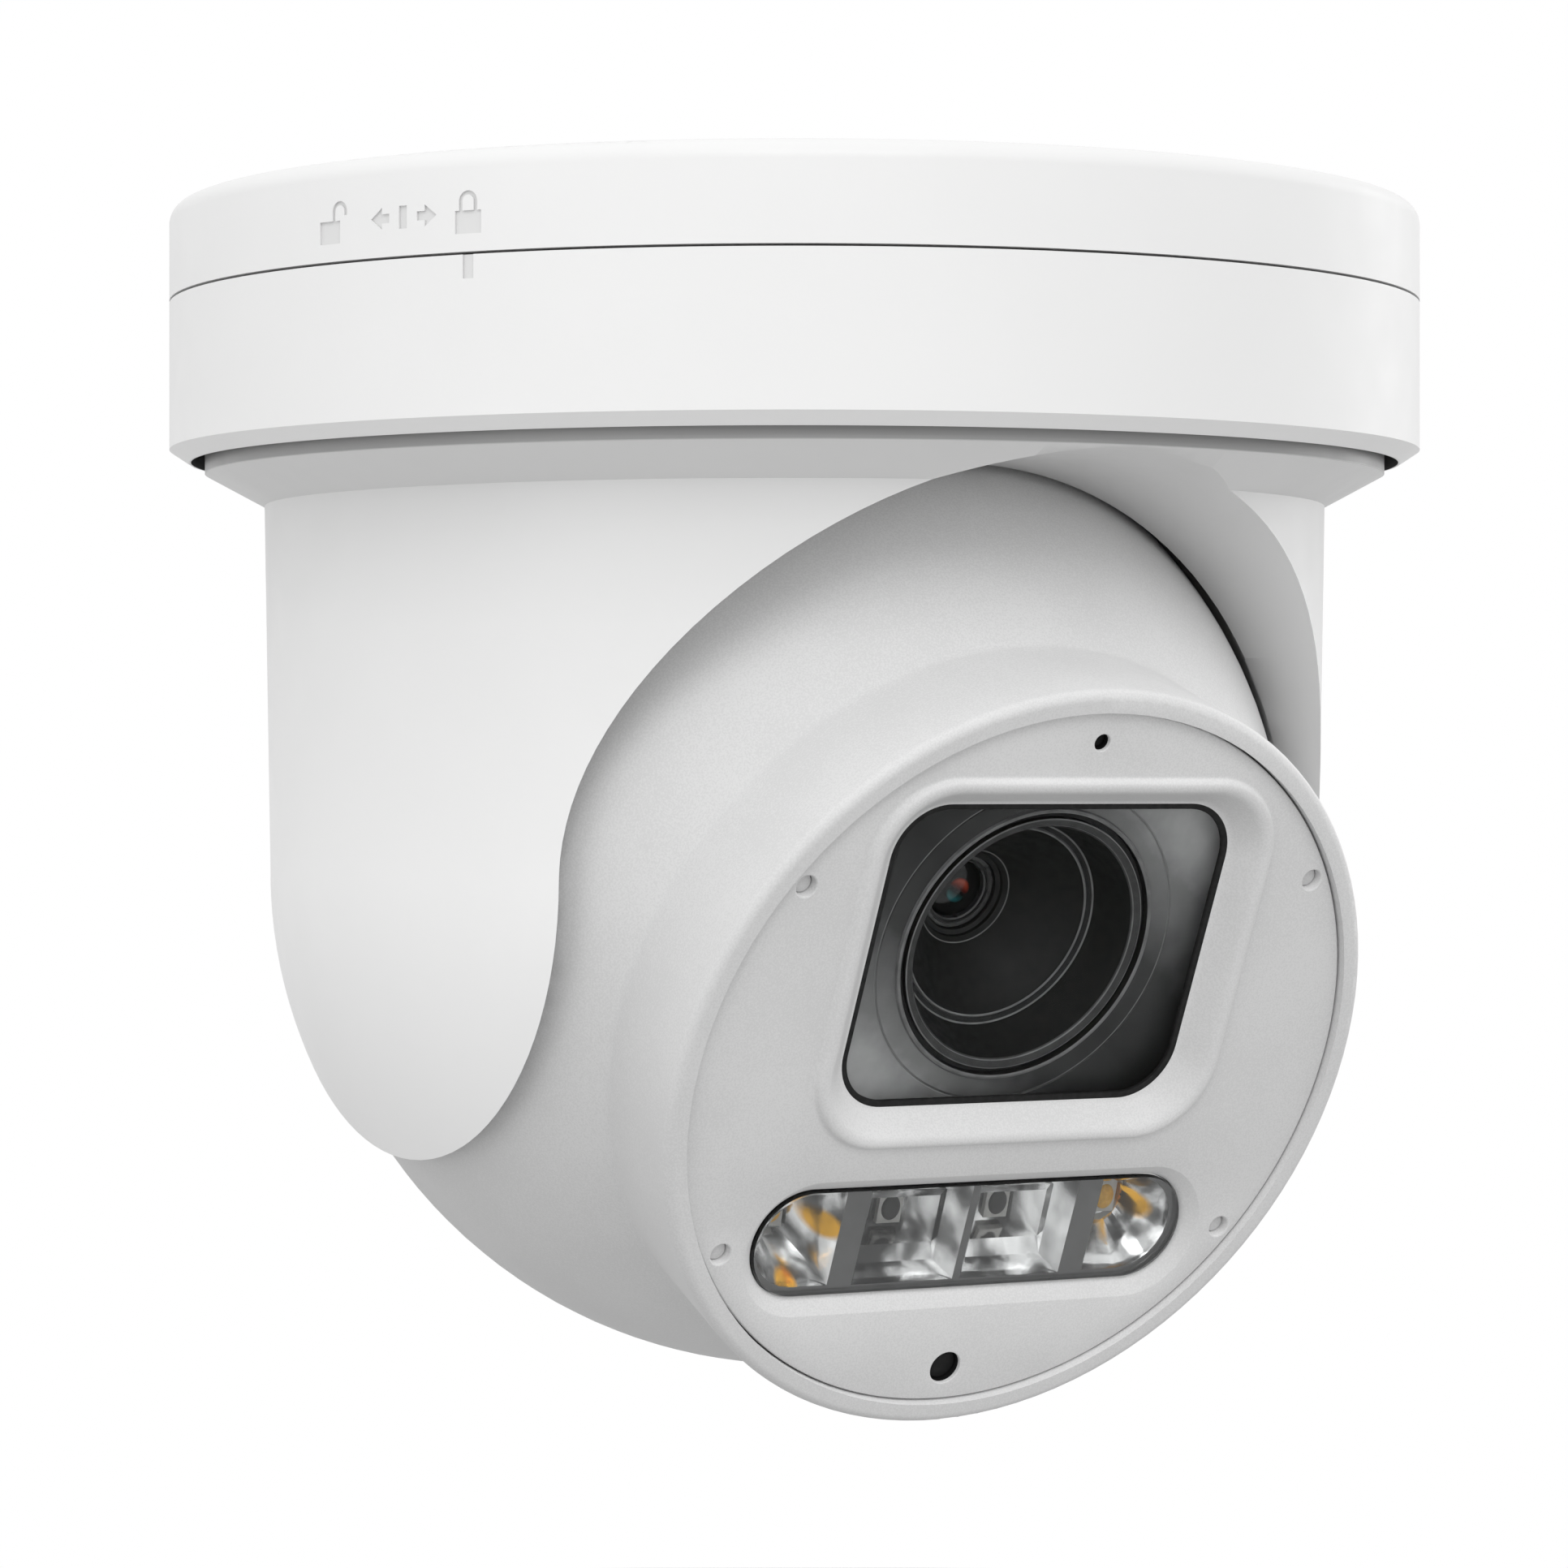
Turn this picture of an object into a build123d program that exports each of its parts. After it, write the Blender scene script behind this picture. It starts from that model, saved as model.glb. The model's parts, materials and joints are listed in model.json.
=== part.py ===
"""Ceiling dome camera: a twist-lock base, a yoke that pans under it and a ball head that tilts in its arms.

Row frame, millimetres: the origin is the centre of the ceiling face, +Z is up and the camera hangs below it.
At rest the head looks towards -Y, tilted down by REST_TILT. The tilt axis runs along X.
"""

import os
from math import acos, atan2, cos, degrees, pi, radians, sin, sqrt, tan

from build123d import *

# ---- overall sizes ----
BALL_RADIUS = 59.1
BASE_OVERHANG = 12.0  # base beyond the yoke's arms
BASE_HEIGHT = 19.2  # bracket's lower edge to the base's
REST_TILT = 23.5  # how far the head looks below the horizontal at rest

# ---- clearances ----
RUN_FIT = 0.03  # ball bearings and gears, a side
SLIP_FIT = 0.05  # parts that slide in or on each other, a side
LOOSE_FIT = 0.15  # parts dropped into pockets and holes, a side
BODY_GAP = 0.6  # between bodies that turn past each other
SEAM = 0.3  # visible joint lines between covers

# ---- ceiling bracket ----
BRACKET_HEIGHT = 11.4
BRACKET_PLATE = 2.5
BRACKET_WALL = 2.8
BRACKET_FILLET = 2.3
CEILING_SCREW_PCD = 110.0
CEILING_SCREW_RADIUS = 2.25
CEILING_SCREW_COUNT = 4
CABLE_HOLE_RADIUS = 22.0
LUG_COUNT = 3
LUG_ANGLE = 14.0
LUG_REACH = 2.7
LUG_HEIGHT = 2.0
TWIST_ANGLE = 15.0
LOCK_AZIMUTH = -60.1  # where the locked mark stands, from -Y towards +X
ENGRAVING = 0.3

# ---- base ----
BASE_CHAMFER = (2.3, 1.5)  # radial, axial
SKIRT_WALL = 2.6
DECK_THICKNESS = 2.0
DECK_HOLE_RADIUS = 12.0
TUB_WALL = 2.5
BASE_COVER_THICKNESS = 1.5
BASE_COVER_SCREWS = 6
HOOK_HEIGHT = 1.8
GLAND_RADIUS = 5.0
GLAND_BORE_RADIUS = 3.0
GLAND_NUT_RADIUS = 8.0
BOARD_THICKNESS = 1.2

# ---- pan bearing, gear and motor ----
PAN_BALL_RADIUS = 1.2
PAN_BALL_COUNT = 24
PAN_RACE_THICKNESS = 2.8  # radial
PAN_RACE_HEIGHT = 4.0
RACE_GAP = 0.9  # between the two races
NECK_WALL = 3.5
PAN_MODULE = 1.0
PAN_PINION_TEETH = 12
PAN_GEAR_HEIGHT = 4.0
PAN_RING_WALL = 3.2
PAN_MOTOR_AZIMUTH = 145.0  # from +X
PAN_MOTOR_RADIUS = 7.5
PAN_MOTOR_LENGTH = 9.4
PAN_STOP_RANGE = 175.0
STOP_PIN_RADIUS = 1.0

# ---- yoke ----
YOKE_WALL = 1.9
BALL_GAP = 0.9
CROWN_WALL = 3.4  # the yoke's dome over the ball
TOP_PLATE_THICKNESS = 2.0
LEDGE_WIDTH = 2.2
POD_RADIUS = 29.5
POD_WALL = 2.0

# ---- tilt bearings, gear and motor ----
AXLE_RADIUS = 5.0
AXLE_FLANGE_THICKNESS = 1.5
TILT_BALL_RADIUS = 1.1
TILT_BALL_COUNT = 10
TILT_RACE_THICKNESS = 2.1
TILT_BEARING_WIDTH = 4.0
TILT_MODULE = 0.8
TILT_RING_TEETH = 60
TILT_PINION_TEETH = 12
TILT_GEAR_WIDTH = 2.0
TILT_MOTOR_ANGLE = -56.5  # round the tilt axis, from forward towards up
TILT_MOTOR_LENGTH = 15.0
PRESSURE_ANGLE = 25.0
MOTOR_EAR = 2.5  # screw holes beyond a motor's can
MOTOR_SHAFT_RADIUS = 1.2

# ---- head, measured along its own axis: z forward, y up ----
SHELL_HEAD = (2.4, 1.7)  # the shell screws' heads: radius, height
SHELL_WALL = 2.2
SHELL_SEAM = -14.0
COLLAR_FILLET = 1.2
FACE_RADIUS = 43.1
FACE_THICKNESS = 2.2
FACE_SCREW_AT = (34.3, 22.4)
FACE_SCREW_RECESS = 1.25
MIC_UP = 39.4
MIC_HOLE_RADIUS = 1.0
LIGHT_SENSOR_UP = -39.0
LIGHT_SENSOR_RADIUS = 2.0
LENS_UP = 12.6
WINDOW_HALF = (22.8, 18.5)
WINDOW_CORNER = 6.6
BEZEL_HALF = (27.2, 22.5)
BEZEL_CORNER = 9.6
BEZEL_RAISE = 0.9
GLASS_THICKNESS = 2.0
GASKET_THICKNESS = 0.5
GASKET_SHOW = 0.7
GLASS_LAP = 1.6
HOOD_PLATE = 1.4
HOOD_MOUTH_RADIUS = 15.4
HOOD_THROAT_RADIUS = 4.6
HOOD_DEPTH = 15.0
BARREL_RADIUS = 14.0
BARREL_WALL = 1.6
BARREL_BACK = 3.0
LENS_RADIUS = 9.0
LED_UP = -22.5
LED_HALF_LENGTH = 29.4
LED_HALF_HEIGHT = 6.8
LED_CHAMFER = 1.6
LED_COVER_RECESS = 0.5
REFLECTOR_DEPTH = 6.0
SERVICE_RADIUS = 13.8
SERVICE_SCREW_X = 10.8
SHELL_POST_RADIUS = 5.0
HEAT_SINK_POST = (24.75, 20.0)
HEAT_SINK_BACK = -16.5
MAIN_BOARD_Z = -10.0

# ---- worked out from the above: radii from the ball outwards ----
CAVITY_RADIUS = BALL_RADIUS + BALL_GAP
ARM_RADIUS = CAVITY_RADIUS + 3.0
ARM_DEPTH = ARM_RADIUS - 4.0  # vertical half-axis of the rounded arm ends
SHOULDER_RADIUS = ARM_RADIUS + 0.7
BASE_RADIUS = ARM_RADIUS + BASE_OVERHANG
SKIRT_INNER = BASE_RADIUS - SKIRT_WALL
DRUM_RADIUS = SKIRT_INNER - 1.6
TUB_RADIUS = BASE_RADIUS - BRACKET_WALL - 3.2

# ---- heights from the ceiling down ----
BASE_TOP = -BRACKET_HEIGHT - SEAM
BASE_BOTTOM = -BRACKET_HEIGHT - BASE_HEIGHT
MARK_HEIGHT = 4.2 - BRACKET_HEIGHT
TUB_TOP = 5.0 - BRACKET_HEIGHT
DECK_BOTTOM = -BRACKET_HEIGHT - 3.9
DECK_TOP = DECK_BOTTOM + DECK_THICKNESS
PAN_RACE_TOP = DECK_BOTTOM - 1.5
PAN_RACE_BOTTOM = PAN_RACE_TOP - PAN_RACE_HEIGHT
DRUM_TOP = DECK_BOTTOM - 6.7
PLATE_BOTTOM = DRUM_TOP - TOP_PLATE_THICKNESS
TILT_DROP = CAVITY_RADIUS + CROWN_WALL + 0.8 - DECK_BOTTOM
TILT_Z = -TILT_DROP
DRUM_EDGE = BASE_BOTTOM - 1.3 - TILT_Z  # height above the tilt axis, as is the next
SHOULDER_EDGE = DRUM_EDGE - 3.8
CROWN_RADIUS = sqrt((CAVITY_RADIUS + CROWN_WALL) ** 2 - (PLATE_BOTTOM - TILT_Z) ** 2)

# ---- pan bearing and gears ----
PAN_BALL_TRACK = CROWN_RADIUS + 9.1
INNER_RACE_OUT = PAN_BALL_TRACK - RACE_GAP / 2
INNER_RACE_IN = INNER_RACE_OUT - PAN_RACE_THICKNESS
OUTER_RACE_IN = PAN_BALL_TRACK + RACE_GAP / 2
OUTER_RACE_OUT = OUTER_RACE_IN + PAN_RACE_THICKNESS
STOP_TRACK = OUTER_RACE_OUT + NECK_WALL + 1.2
PAN_RING_TEETH = 2 * round((BASE_RADIUS - 13) / PAN_MODULE)
PAN_RING_PITCH = PAN_MODULE * PAN_RING_TEETH / 2
PAN_PINION_PITCH = PAN_MODULE * PAN_PINION_TEETH / 2
PAN_CENTRE = PAN_RING_PITCH - PAN_PINION_PITCH

# ---- tilt bearings and gears, out along X from the ball's flat sides ----
FLAT_X = BALL_RADIUS - 8.5
TILT_BEARING_X = FLAT_X - 5.4
AXLE_END_X = FLAT_X - 7.0
AXLE_FLANGE_X = FLAT_X + 5.4
AXLE_FLANGE_RADIUS = AXLE_RADIUS + 4.0
AXLE_BORE_RADIUS = AXLE_RADIUS - 1.6
POD_FACE_X = FLAT_X + BODY_GAP
TILT_GEAR_X = POD_FACE_X + 0.3
TILT_BALL_TRACK = AXLE_RADIUS + TILT_RACE_THICKNESS + 0.4
TILT_RACE_OUT = TILT_BALL_TRACK + 0.4 + TILT_RACE_THICKNESS
BEARING_BOSS_RADIUS = TILT_RACE_OUT + 2.4
TILT_RING_PITCH = TILT_MODULE * TILT_RING_TEETH / 2
TILT_CENTRE = TILT_RING_PITCH - TILT_MODULE * TILT_PINION_TEETH / 2
TILT_MOTOR_RADIUS = TILT_CENTRE - BEARING_BOSS_RADIUS - 0.3

# ---- head ----
COLLAR_RADIUS = FACE_RADIUS + 2.8
COLLAR_BASE_RADIUS = COLLAR_RADIUS - 1.0
COLLAR_FRONT = BALL_RADIUS - 5.5
FACE_FRONT = COLLAR_FRONT - 0.9
FACE_LEDGE_RADIUS = FACE_RADIUS - 3.7
TUNNEL_HALF_WIDTH = FLAT_X + 1.8
TUNNEL_RISE = COLLAR_RADIUS + 1.5
FACE_BACK = FACE_FRONT - FACE_THICKNESS
GLASS_FRONT = FACE_BACK - GASKET_THICKNESS
GLASS_BACK = GLASS_FRONT - GLASS_THICKNESS
HOOD_THROAT_Z = GLASS_BACK - HOOD_DEPTH
BARREL_FRONT = HOOD_THROAT_Z
SERVICE_BACK = 1.7 - BALL_RADIUS
SERVICE_BOARD_Z = SERVICE_BACK + 9.9  # the board's face towards the cover
SHELL_SCREW_AT = (BALL_RADIUS - SHELL_WALL) / sqrt(2) - 4.03
HEAD = Pos(0, 0, TILT_Z) * Rot(90 + REST_TILT, 0, 0)
LENS = Pos(0, LENS_UP, 0)


# ---- shapes used again and again ----
def tube(outer, inner, low, high):
    """A ring about Z between two heights."""
    height = high - low
    ring = Pos(0, 0, low + height / 2) * Cylinder(outer, height)
    if inner > 0:
        ring -= Pos(0, 0, low + height / 2) * Cylinder(inner, height + 1)
    return ring


def tube_x(outer, inner, low, high):
    """A ring about X between two places on X."""
    return Rot(0, 90, 0) * tube(outer, inner, low, high)


def both_sides(shape):
    """A shape on the +X side and its mirror image on the -X side."""
    return shape + mirror(shape, about=Plane.YZ)


def sector(outer, inner, low, high, middle, width):
    """A piece of a ring about Z, centred on an angle from +X."""
    half = radians(width / 2)
    reach = outer * 1.6
    wedge = Polygon((0, 0), (reach, -reach * tan(half)), (reach, reach * tan(half)), align=None)
    block = extrude(Pos(0, 0, low) * Rot(0, 0, middle) * wedge, amount=high - low)
    return tube(outer, inner, low, high) & block


def turned(count, start=0.0):
    """Evenly spaced turns about Z."""
    return [Rot(0, 0, start + 360 * i / count) for i in range(count)]


def screw(head_radius, head_height, shank_radius, length):
    """A socket screw pointing down -Z, its head's top at the origin."""
    socket = extrude(RegularPolygon(head_radius * 0.5, 6), amount=-head_height * 0.55)
    shank = tube(shank_radius, 0, -head_height - length, -head_height)
    return tube(head_radius, 0, -head_height, 0) + shank - socket


def small_screw(length):
    """The one small screw that the plates, motors and axles share."""
    return screw(1.1, 0.8, 0.6, length)


def ear_spots(radius):
    """Where a motor's two mounting ears take their screws."""
    return [Pos(0, (radius + MOTOR_EAR) * side, 0) for side in (-1, 1)]


def motor(radius, length, high):
    """A can motor hanging below a plate, with two ears and a hole for its shaft."""
    can = tube(radius, 0, high - length, high)
    ears = SlotOverall(2 * (radius + MOTOR_EAR + 2.4), 5.6)
    can += extrude(Pos(0, 0, high - 1) * Rot(0, 0, 90) * ears, amount=1)
    can -= tube(MOTOR_SHAFT_RADIUS + SLIP_FIT, 0, high - 3.1, high + 1)
    for spot in ear_spots(radius):
        can -= spot * tube(0.65, 0, high - 2, high + 1)
    return can


def rounded(half, corner, low, high, centre=0.0):
    """A rounded rectangular block along z in the head's frame."""
    face = RectangleRounded(2 * half[0], 2 * half[1], corner)
    return extrude(Pos(0, centre, low) * face, amount=high - low)


def stadium(half_length, half_height, low, high):
    """A round-ended slot along z in the head's frame, at the lamp window."""
    face = SlotOverall(2 * half_length, 2 * half_height)
    return extrude(Pos(0, LED_UP, low) * face, amount=high - low)


def involute(angle):
    return tan(angle) - angle


def gear_outline(teeth, module, addendum, dedendum, thinning):
    """Points of an involute gear with a tooth centred on +X, each flank thinned by a set amount."""
    pitch = module * teeth / 2
    base = pitch * cos(radians(PRESSURE_ANGLE))
    root, tip = pitch - dedendum, pitch + addendum
    middle = pi / (2 * teeth) + involute(radians(PRESSURE_ANGLE)) - thinning / pitch
    radii = [root] if root < base else []
    start = max(root, base)
    radii += [start + (tip - start) * i / 3 for i in range(4)]
    flank = [(r, middle - involute(acos(min(1.0, base / r)))) for r in radii]
    points = []
    for tooth in range(teeth):
        centre = 2 * pi * tooth / teeth
        for r, half in flank:
            points.append((r * cos(centre - half), r * sin(centre - half)))
        for r, half in reversed(flank):
            points.append((r * cos(centre + half), r * sin(centre + half)))
    return Polyline(*points, close=True)


def pinion(teeth, module, bore, low, high):
    """A small external gear about Z."""
    outline = gear_outline(teeth, module, 0.85 * module, 1.1 * module, RUN_FIT + SLIP_FIT)
    return extrude(Pos(0, 0, low) * make_face(outline), amount=high - low) - tube(bore, 0, low - 1, high + 1)


def ring_gear(teeth, module, wall, low, high):
    """An internal gear about Z with a tooth gap centred on +X."""
    outline = gear_outline(teeth, module, 1.1 * module, 0.8 * module, -RUN_FIT)
    gaps = extrude(Pos(0, 0, low) * make_face(outline), amount=high - low)
    return tube(module * teeth / 2 + 1.1 * module + wall, 0, low, high) - gaps


def race(outer, inner, track, ball, low, height):
    """A bearing race about Z with its ball groove."""
    groove = Pos(0, 0, low + height / 2) * Torus(track, ball + RUN_FIT)
    return tube(outer, inner, low, low + height) - groove


def balls(track, ball, count, middle):
    return Compound([turn * Pos(track, 0, middle) * Sphere(ball) for turn in turned(count)])


def write(name, shape, place=None):
    """Writes one node, its separate solids grouped."""
    solids = shape.solids()
    if place is not None:
        solids = [place * solid for solid in solids]
    export_step(solids[0] if len(solids) == 1 else Compound(solids), f"parts/{name}.step")


# ---- engraved marks ----
def mark(sketch, azimuth, height):
    """An engraving cutter on the base's wall; azimuth is from -Y towards +X."""
    turn = Rot(0, 0, azimuth)
    plane = Plane(origin=(0, -(BASE_RADIUS - ENGRAVING), height), x_dir=(1, 0, 0), z_dir=(0, -1, 0))
    return turn * extrude(plane * sketch, amount=3)


def padlock(open_shackle):
    """A plain padlock; the open one has its shackle swung over to the side."""
    body = Pos(0, -1.0) * Rectangle(3.3, 2.5)
    loop = Rot(0, 0, 90) * (SlotOverall(4.8, 2.3) - SlotOverall(3.9, 1.4))
    shackle = loop & Pos(0, 1.5) * Rectangle(4, 3)
    if open_shackle:
        shackle = Pos(1.6, 0) * (shackle - Pos(1, 0) * Rectangle(1.5, 1.6))
    return body + shackle


def arrow(side):
    """An arrow pointing along x: side is 1 for right, -1 for left."""
    corners = [(-0.95, -0.5), (0.1, -0.5), (0.1, -1.2), (1.7, 0), (0.1, 1.2), (0.1, 0.5), (-0.95, 0.5)]
    return Rot(0, 0, 90 - 90 * side) * Polygon(*corners, align=None)


def lock_marks():
    """Locked and unlocked padlocks a twist apart, with two arrows and a bar between them."""
    marks = mark(padlock(False), LOCK_AZIMUTH, MARK_HEIGHT)
    marks += mark(padlock(True), LOCK_AZIMUTH - TWIST_ANGLE, MARK_HEIGHT)
    middle = LOCK_AZIMUTH - TWIST_ANGLE * 0.44
    marks += mark(Rectangle(1.1, 2.5), middle, MARK_HEIGHT)
    for side in (-1, 1):
        marks += mark(arrow(side), middle + 2.2 * side, MARK_HEIGHT)
    return marks


# ---- ceiling bracket ----
def ceiling_bracket():
    plate = tube(BASE_RADIUS, CABLE_HOLE_RADIUS, -BRACKET_PLATE, 0)
    rim = plate.edges().filter_by(GeomType.CIRCLE).group_by(Axis.Z)[-1].sort_by(SortBy.RADIUS)[-1]
    plate = fillet(rim, BRACKET_FILLET)
    inner = BASE_RADIUS - BRACKET_WALL
    body = plate + tube(BASE_RADIUS, inner, -BRACKET_HEIGHT, -BRACKET_PLATE)
    lug_top = TUB_TOP - 0.4 - HOOK_HEIGHT - 0.25
    for i in range(LUG_COUNT):
        middle = 90 + 360 * i / LUG_COUNT
        body += sector(inner + 1, inner - LUG_REACH, lug_top - LUG_HEIGHT, lug_top, middle, LUG_ANGLE)
    for turn in turned(CEILING_SCREW_COUNT, 45):
        body -= turn * Pos(CEILING_SCREW_PCD / 2, 0, 0) * Cylinder(CEILING_SCREW_RADIUS, 3 * BRACKET_PLATE)
    return body - lock_marks()


# ---- base ----
def base_housing():
    chamfer_in, chamfer_up = BASE_CHAMFER
    outline = Polyline(
        (TUB_RADIUS - TUB_WALL, DECK_BOTTOM),
        (SKIRT_INNER, DECK_BOTTOM),
        (SKIRT_INNER, BASE_BOTTOM),
        (BASE_RADIUS - chamfer_in, BASE_BOTTOM),
        (BASE_RADIUS, BASE_BOTTOM + chamfer_up),
        (BASE_RADIUS, BASE_TOP),
        (TUB_RADIUS, BASE_TOP),
        (TUB_RADIUS, TUB_TOP),
        (TUB_RADIUS - TUB_WALL, TUB_TOP),
        close=True,
    )
    body = revolve(Plane.XZ * make_face(outline), axis=Axis.Z)
    body += tube(TUB_RADIUS - TUB_WALL, DECK_HOLE_RADIUS, DECK_BOTTOM, DECK_TOP)
    seat_low = PAN_RACE_BOTTOM - 0.8
    body += tube(OUTER_RACE_OUT + NECK_WALL, OUTER_RACE_OUT, seat_low, DECK_BOTTOM)
    body += tube(OUTER_RACE_OUT, OUTER_RACE_IN + 1.0, PAN_RACE_TOP, DECK_BOTTOM)
    body -= tube(OUTER_RACE_OUT + 1.4, OUTER_RACE_OUT - 1, PAN_RACE_BOTTOM - 0.65, PAN_RACE_BOTTOM - SLIP_FIT)
    hook_top = TUB_TOP - 0.4
    for i in range(LUG_COUNT):
        middle = 90 + 360 * i / LUG_COUNT
        body += sector(TUB_RADIUS + 2.8, TUB_RADIUS - 1, hook_top - HOOK_HEIGHT, hook_top, middle, LUG_ANGLE)
    body += pan_stop_lug()
    for turn in turned(4, 45):
        body -= turn * Pos(ring_screw_track(), 0, DECK_BOTTOM) * Cylinder(0.9, 12)
    for turn in turned(BASE_COVER_SCREWS):
        body += turn * cover_screw_boss() & tube(TUB_RADIUS - 1, 0, DECK_BOTTOM, TUB_TOP)
        body -= turn * Pos(cover_screw_track(), 0, TUB_TOP) * Cylinder(0.8, 8)
    return body - mark(Pos(0, -1.6) * Rectangle(1.35, 2.6), LOCK_AZIMUTH, BASE_TOP + 0.3)


def cover_screw_track():
    return TUB_RADIUS - TUB_WALL - 1.0


def cover_screw_boss():
    height = TUB_TOP - DECK_TOP + 0.5
    return Pos(cover_screw_track(), 0, TUB_TOP - height / 2) * Cylinder(2.2, height)


def ring_screw_track():
    return PAN_RING_PITCH + 1.1 * PAN_MODULE + PAN_RING_WALL / 2


def pan_stop_lug():
    """A lug whose width leaves the stop pin its full travel either way."""
    pin_angle = degrees(STOP_PIN_RADIUS / STOP_TRACK)
    width = 2 * (180 - PAN_STOP_RANGE - 0.3 - pin_angle)
    inner = OUTER_RACE_OUT + NECK_WALL
    return sector(STOP_TRACK + STOP_PIN_RADIUS, inner - 0.5, PAN_RACE_BOTTOM - 0.8, DECK_BOTTOM, 90, width)


def base_cover():
    cover = tube(TUB_RADIUS - LOOSE_FIT, 0, TUB_TOP, TUB_TOP + BASE_COVER_THICKNESS)
    cover -= tube(GLAND_RADIUS + SLIP_FIT, 0, TUB_TOP - 1, TUB_TOP + 3)
    for turn in turned(BASE_COVER_SCREWS):
        cover -= turn * Pos(cover_screw_track(), 0, TUB_TOP) * Cylinder(0.9, 8)
    return cover


def base_cover_screws():
    top = TUB_TOP + BASE_COVER_THICKNESS + 1.0
    one = Pos(cover_screw_track(), 0, top) * screw(1.8, 1.0, 0.8, 4.5)
    return Compound([turn * one for turn in turned(BASE_COVER_SCREWS)])


def cable_gland():
    top = TUB_TOP + BASE_COVER_THICKNESS
    body = tube(GLAND_RADIUS, 0, TUB_TOP - 3.5, top)
    body += extrude(Pos(0, 0, top) * RegularPolygon(GLAND_NUT_RADIUS, 6), amount=2.6)
    body += Pos(0, 0, top + 3.2) * Cone(GLAND_NUT_RADIUS * 0.75, GLAND_BORE_RADIUS + 1, 1.2)
    return body - tube(GLAND_BORE_RADIUS, 0, TUB_TOP - 5, 0)


def power_board():
    low = DECK_TOP + 1.0
    board = tube(TUB_RADIUS - 11, DECK_HOLE_RADIUS + 2, low, low + BOARD_THICKNESS)
    board -= Pos(0, TUB_RADIUS - 9, low) * Box(60, 50, 10)
    for turn in turned(3, 30):
        board += turn * Pos(40, 0, low - 0.5) * Cylinder(2.5, 1.0)
    top = low + BOARD_THICKNESS
    parts = [(-35, -12, 12, 10, 3.4), (-18, -34, 9, 14, 3.0), (12, -38, 16, 9, 2.4), (36, -14, 10, 16, 3.2)]
    for x, y, width, depth, height in parts:
        board += Pos(x, y, top + height / 2 - 0.1) * Box(width, depth, height + 0.2)
    return board


# ---- pan bearing and drive ----
def pan_race(outer, inner):
    return race(outer, inner, PAN_BALL_TRACK, PAN_BALL_RADIUS, PAN_RACE_BOTTOM, PAN_RACE_HEIGHT)


def pan_outer_race():
    return pan_race(OUTER_RACE_OUT, OUTER_RACE_IN)


def pan_inner_race():
    return pan_race(INNER_RACE_OUT, INNER_RACE_IN)


def bearing_snap_ring():
    ring = tube(OUTER_RACE_OUT + 1.3, OUTER_RACE_IN + 1.2, PAN_RACE_BOTTOM - 0.6, PAN_RACE_BOTTOM - 0.1)
    return ring - Pos(0, OUTER_RACE_OUT, PAN_RACE_BOTTOM) * Box(5, 8, 4)


def pan_retainer():
    """A threaded ring that clamps the inner race on the yoke's neck."""
    neck_bore = INNER_RACE_IN - NECK_WALL
    ring = tube(INNER_RACE_OUT - 0.8, neck_bore - 2, PAN_RACE_TOP, PAN_RACE_TOP + 0.9)
    ring += tube(neck_bore - SLIP_FIT, neck_bore - 2, PAN_RACE_TOP - 3, PAN_RACE_TOP)
    for turn in turned(4):
        ring -= turn * Pos(INNER_RACE_IN, 0, PAN_RACE_TOP + 0.9) * Box(4, 2, 0.9)
    return ring


def pan_ring_gear():
    gear = ring_gear(PAN_RING_TEETH, PAN_MODULE, PAN_RING_WALL, DECK_BOTTOM - PAN_GEAR_HEIGHT, DECK_BOTTOM)
    gear = Rot(0, 0, PAN_MOTOR_AZIMUTH) * gear
    for turn in turned(4, 45):
        gear -= turn * Pos(ring_screw_track(), 0, DECK_BOTTOM) * Cylinder(0.7, 7)
    return gear


def ring_gear_screws():
    one = Pos(ring_screw_track(), 0, DECK_TOP + 1.0) * screw(1.3, 1.0, 0.7, 5.4)
    return Compound([turn * one for turn in turned(4, 45)])


def at_pan_motor(shape):
    return Rot(0, 0, PAN_MOTOR_AZIMUTH) * Pos(PAN_CENTRE, 0, 0) * shape


def pan_pinion():
    low, high = DECK_BOTTOM - PAN_GEAR_HEIGHT + 0.3, DECK_BOTTOM - 0.7
    gear = pinion(PAN_PINION_TEETH, PAN_MODULE, 0.5, low, high)
    gear += tube(3.0, 0, DRUM_TOP + 0.4, low)
    return at_pan_motor(gear + tube(MOTOR_SHAFT_RADIUS, 0, PLATE_BOTTOM - 2.5, high))


def pan_motor():
    return at_pan_motor(motor(PAN_MOTOR_RADIUS, PAN_MOTOR_LENGTH, PLATE_BOTTOM))


def pan_motor_screws():
    top = DRUM_TOP + 0.8
    return [at_pan_motor(spot * Pos(0, 0, top) * small_screw(3.4)) for spot in ear_spots(PAN_MOTOR_RADIUS)]


def pan_stop_pin():
    return Pos(0, -STOP_TRACK, 0) * tube(STOP_PIN_RADIUS, 0, PLATE_BOTTOM, PAN_RACE_TOP)


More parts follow.
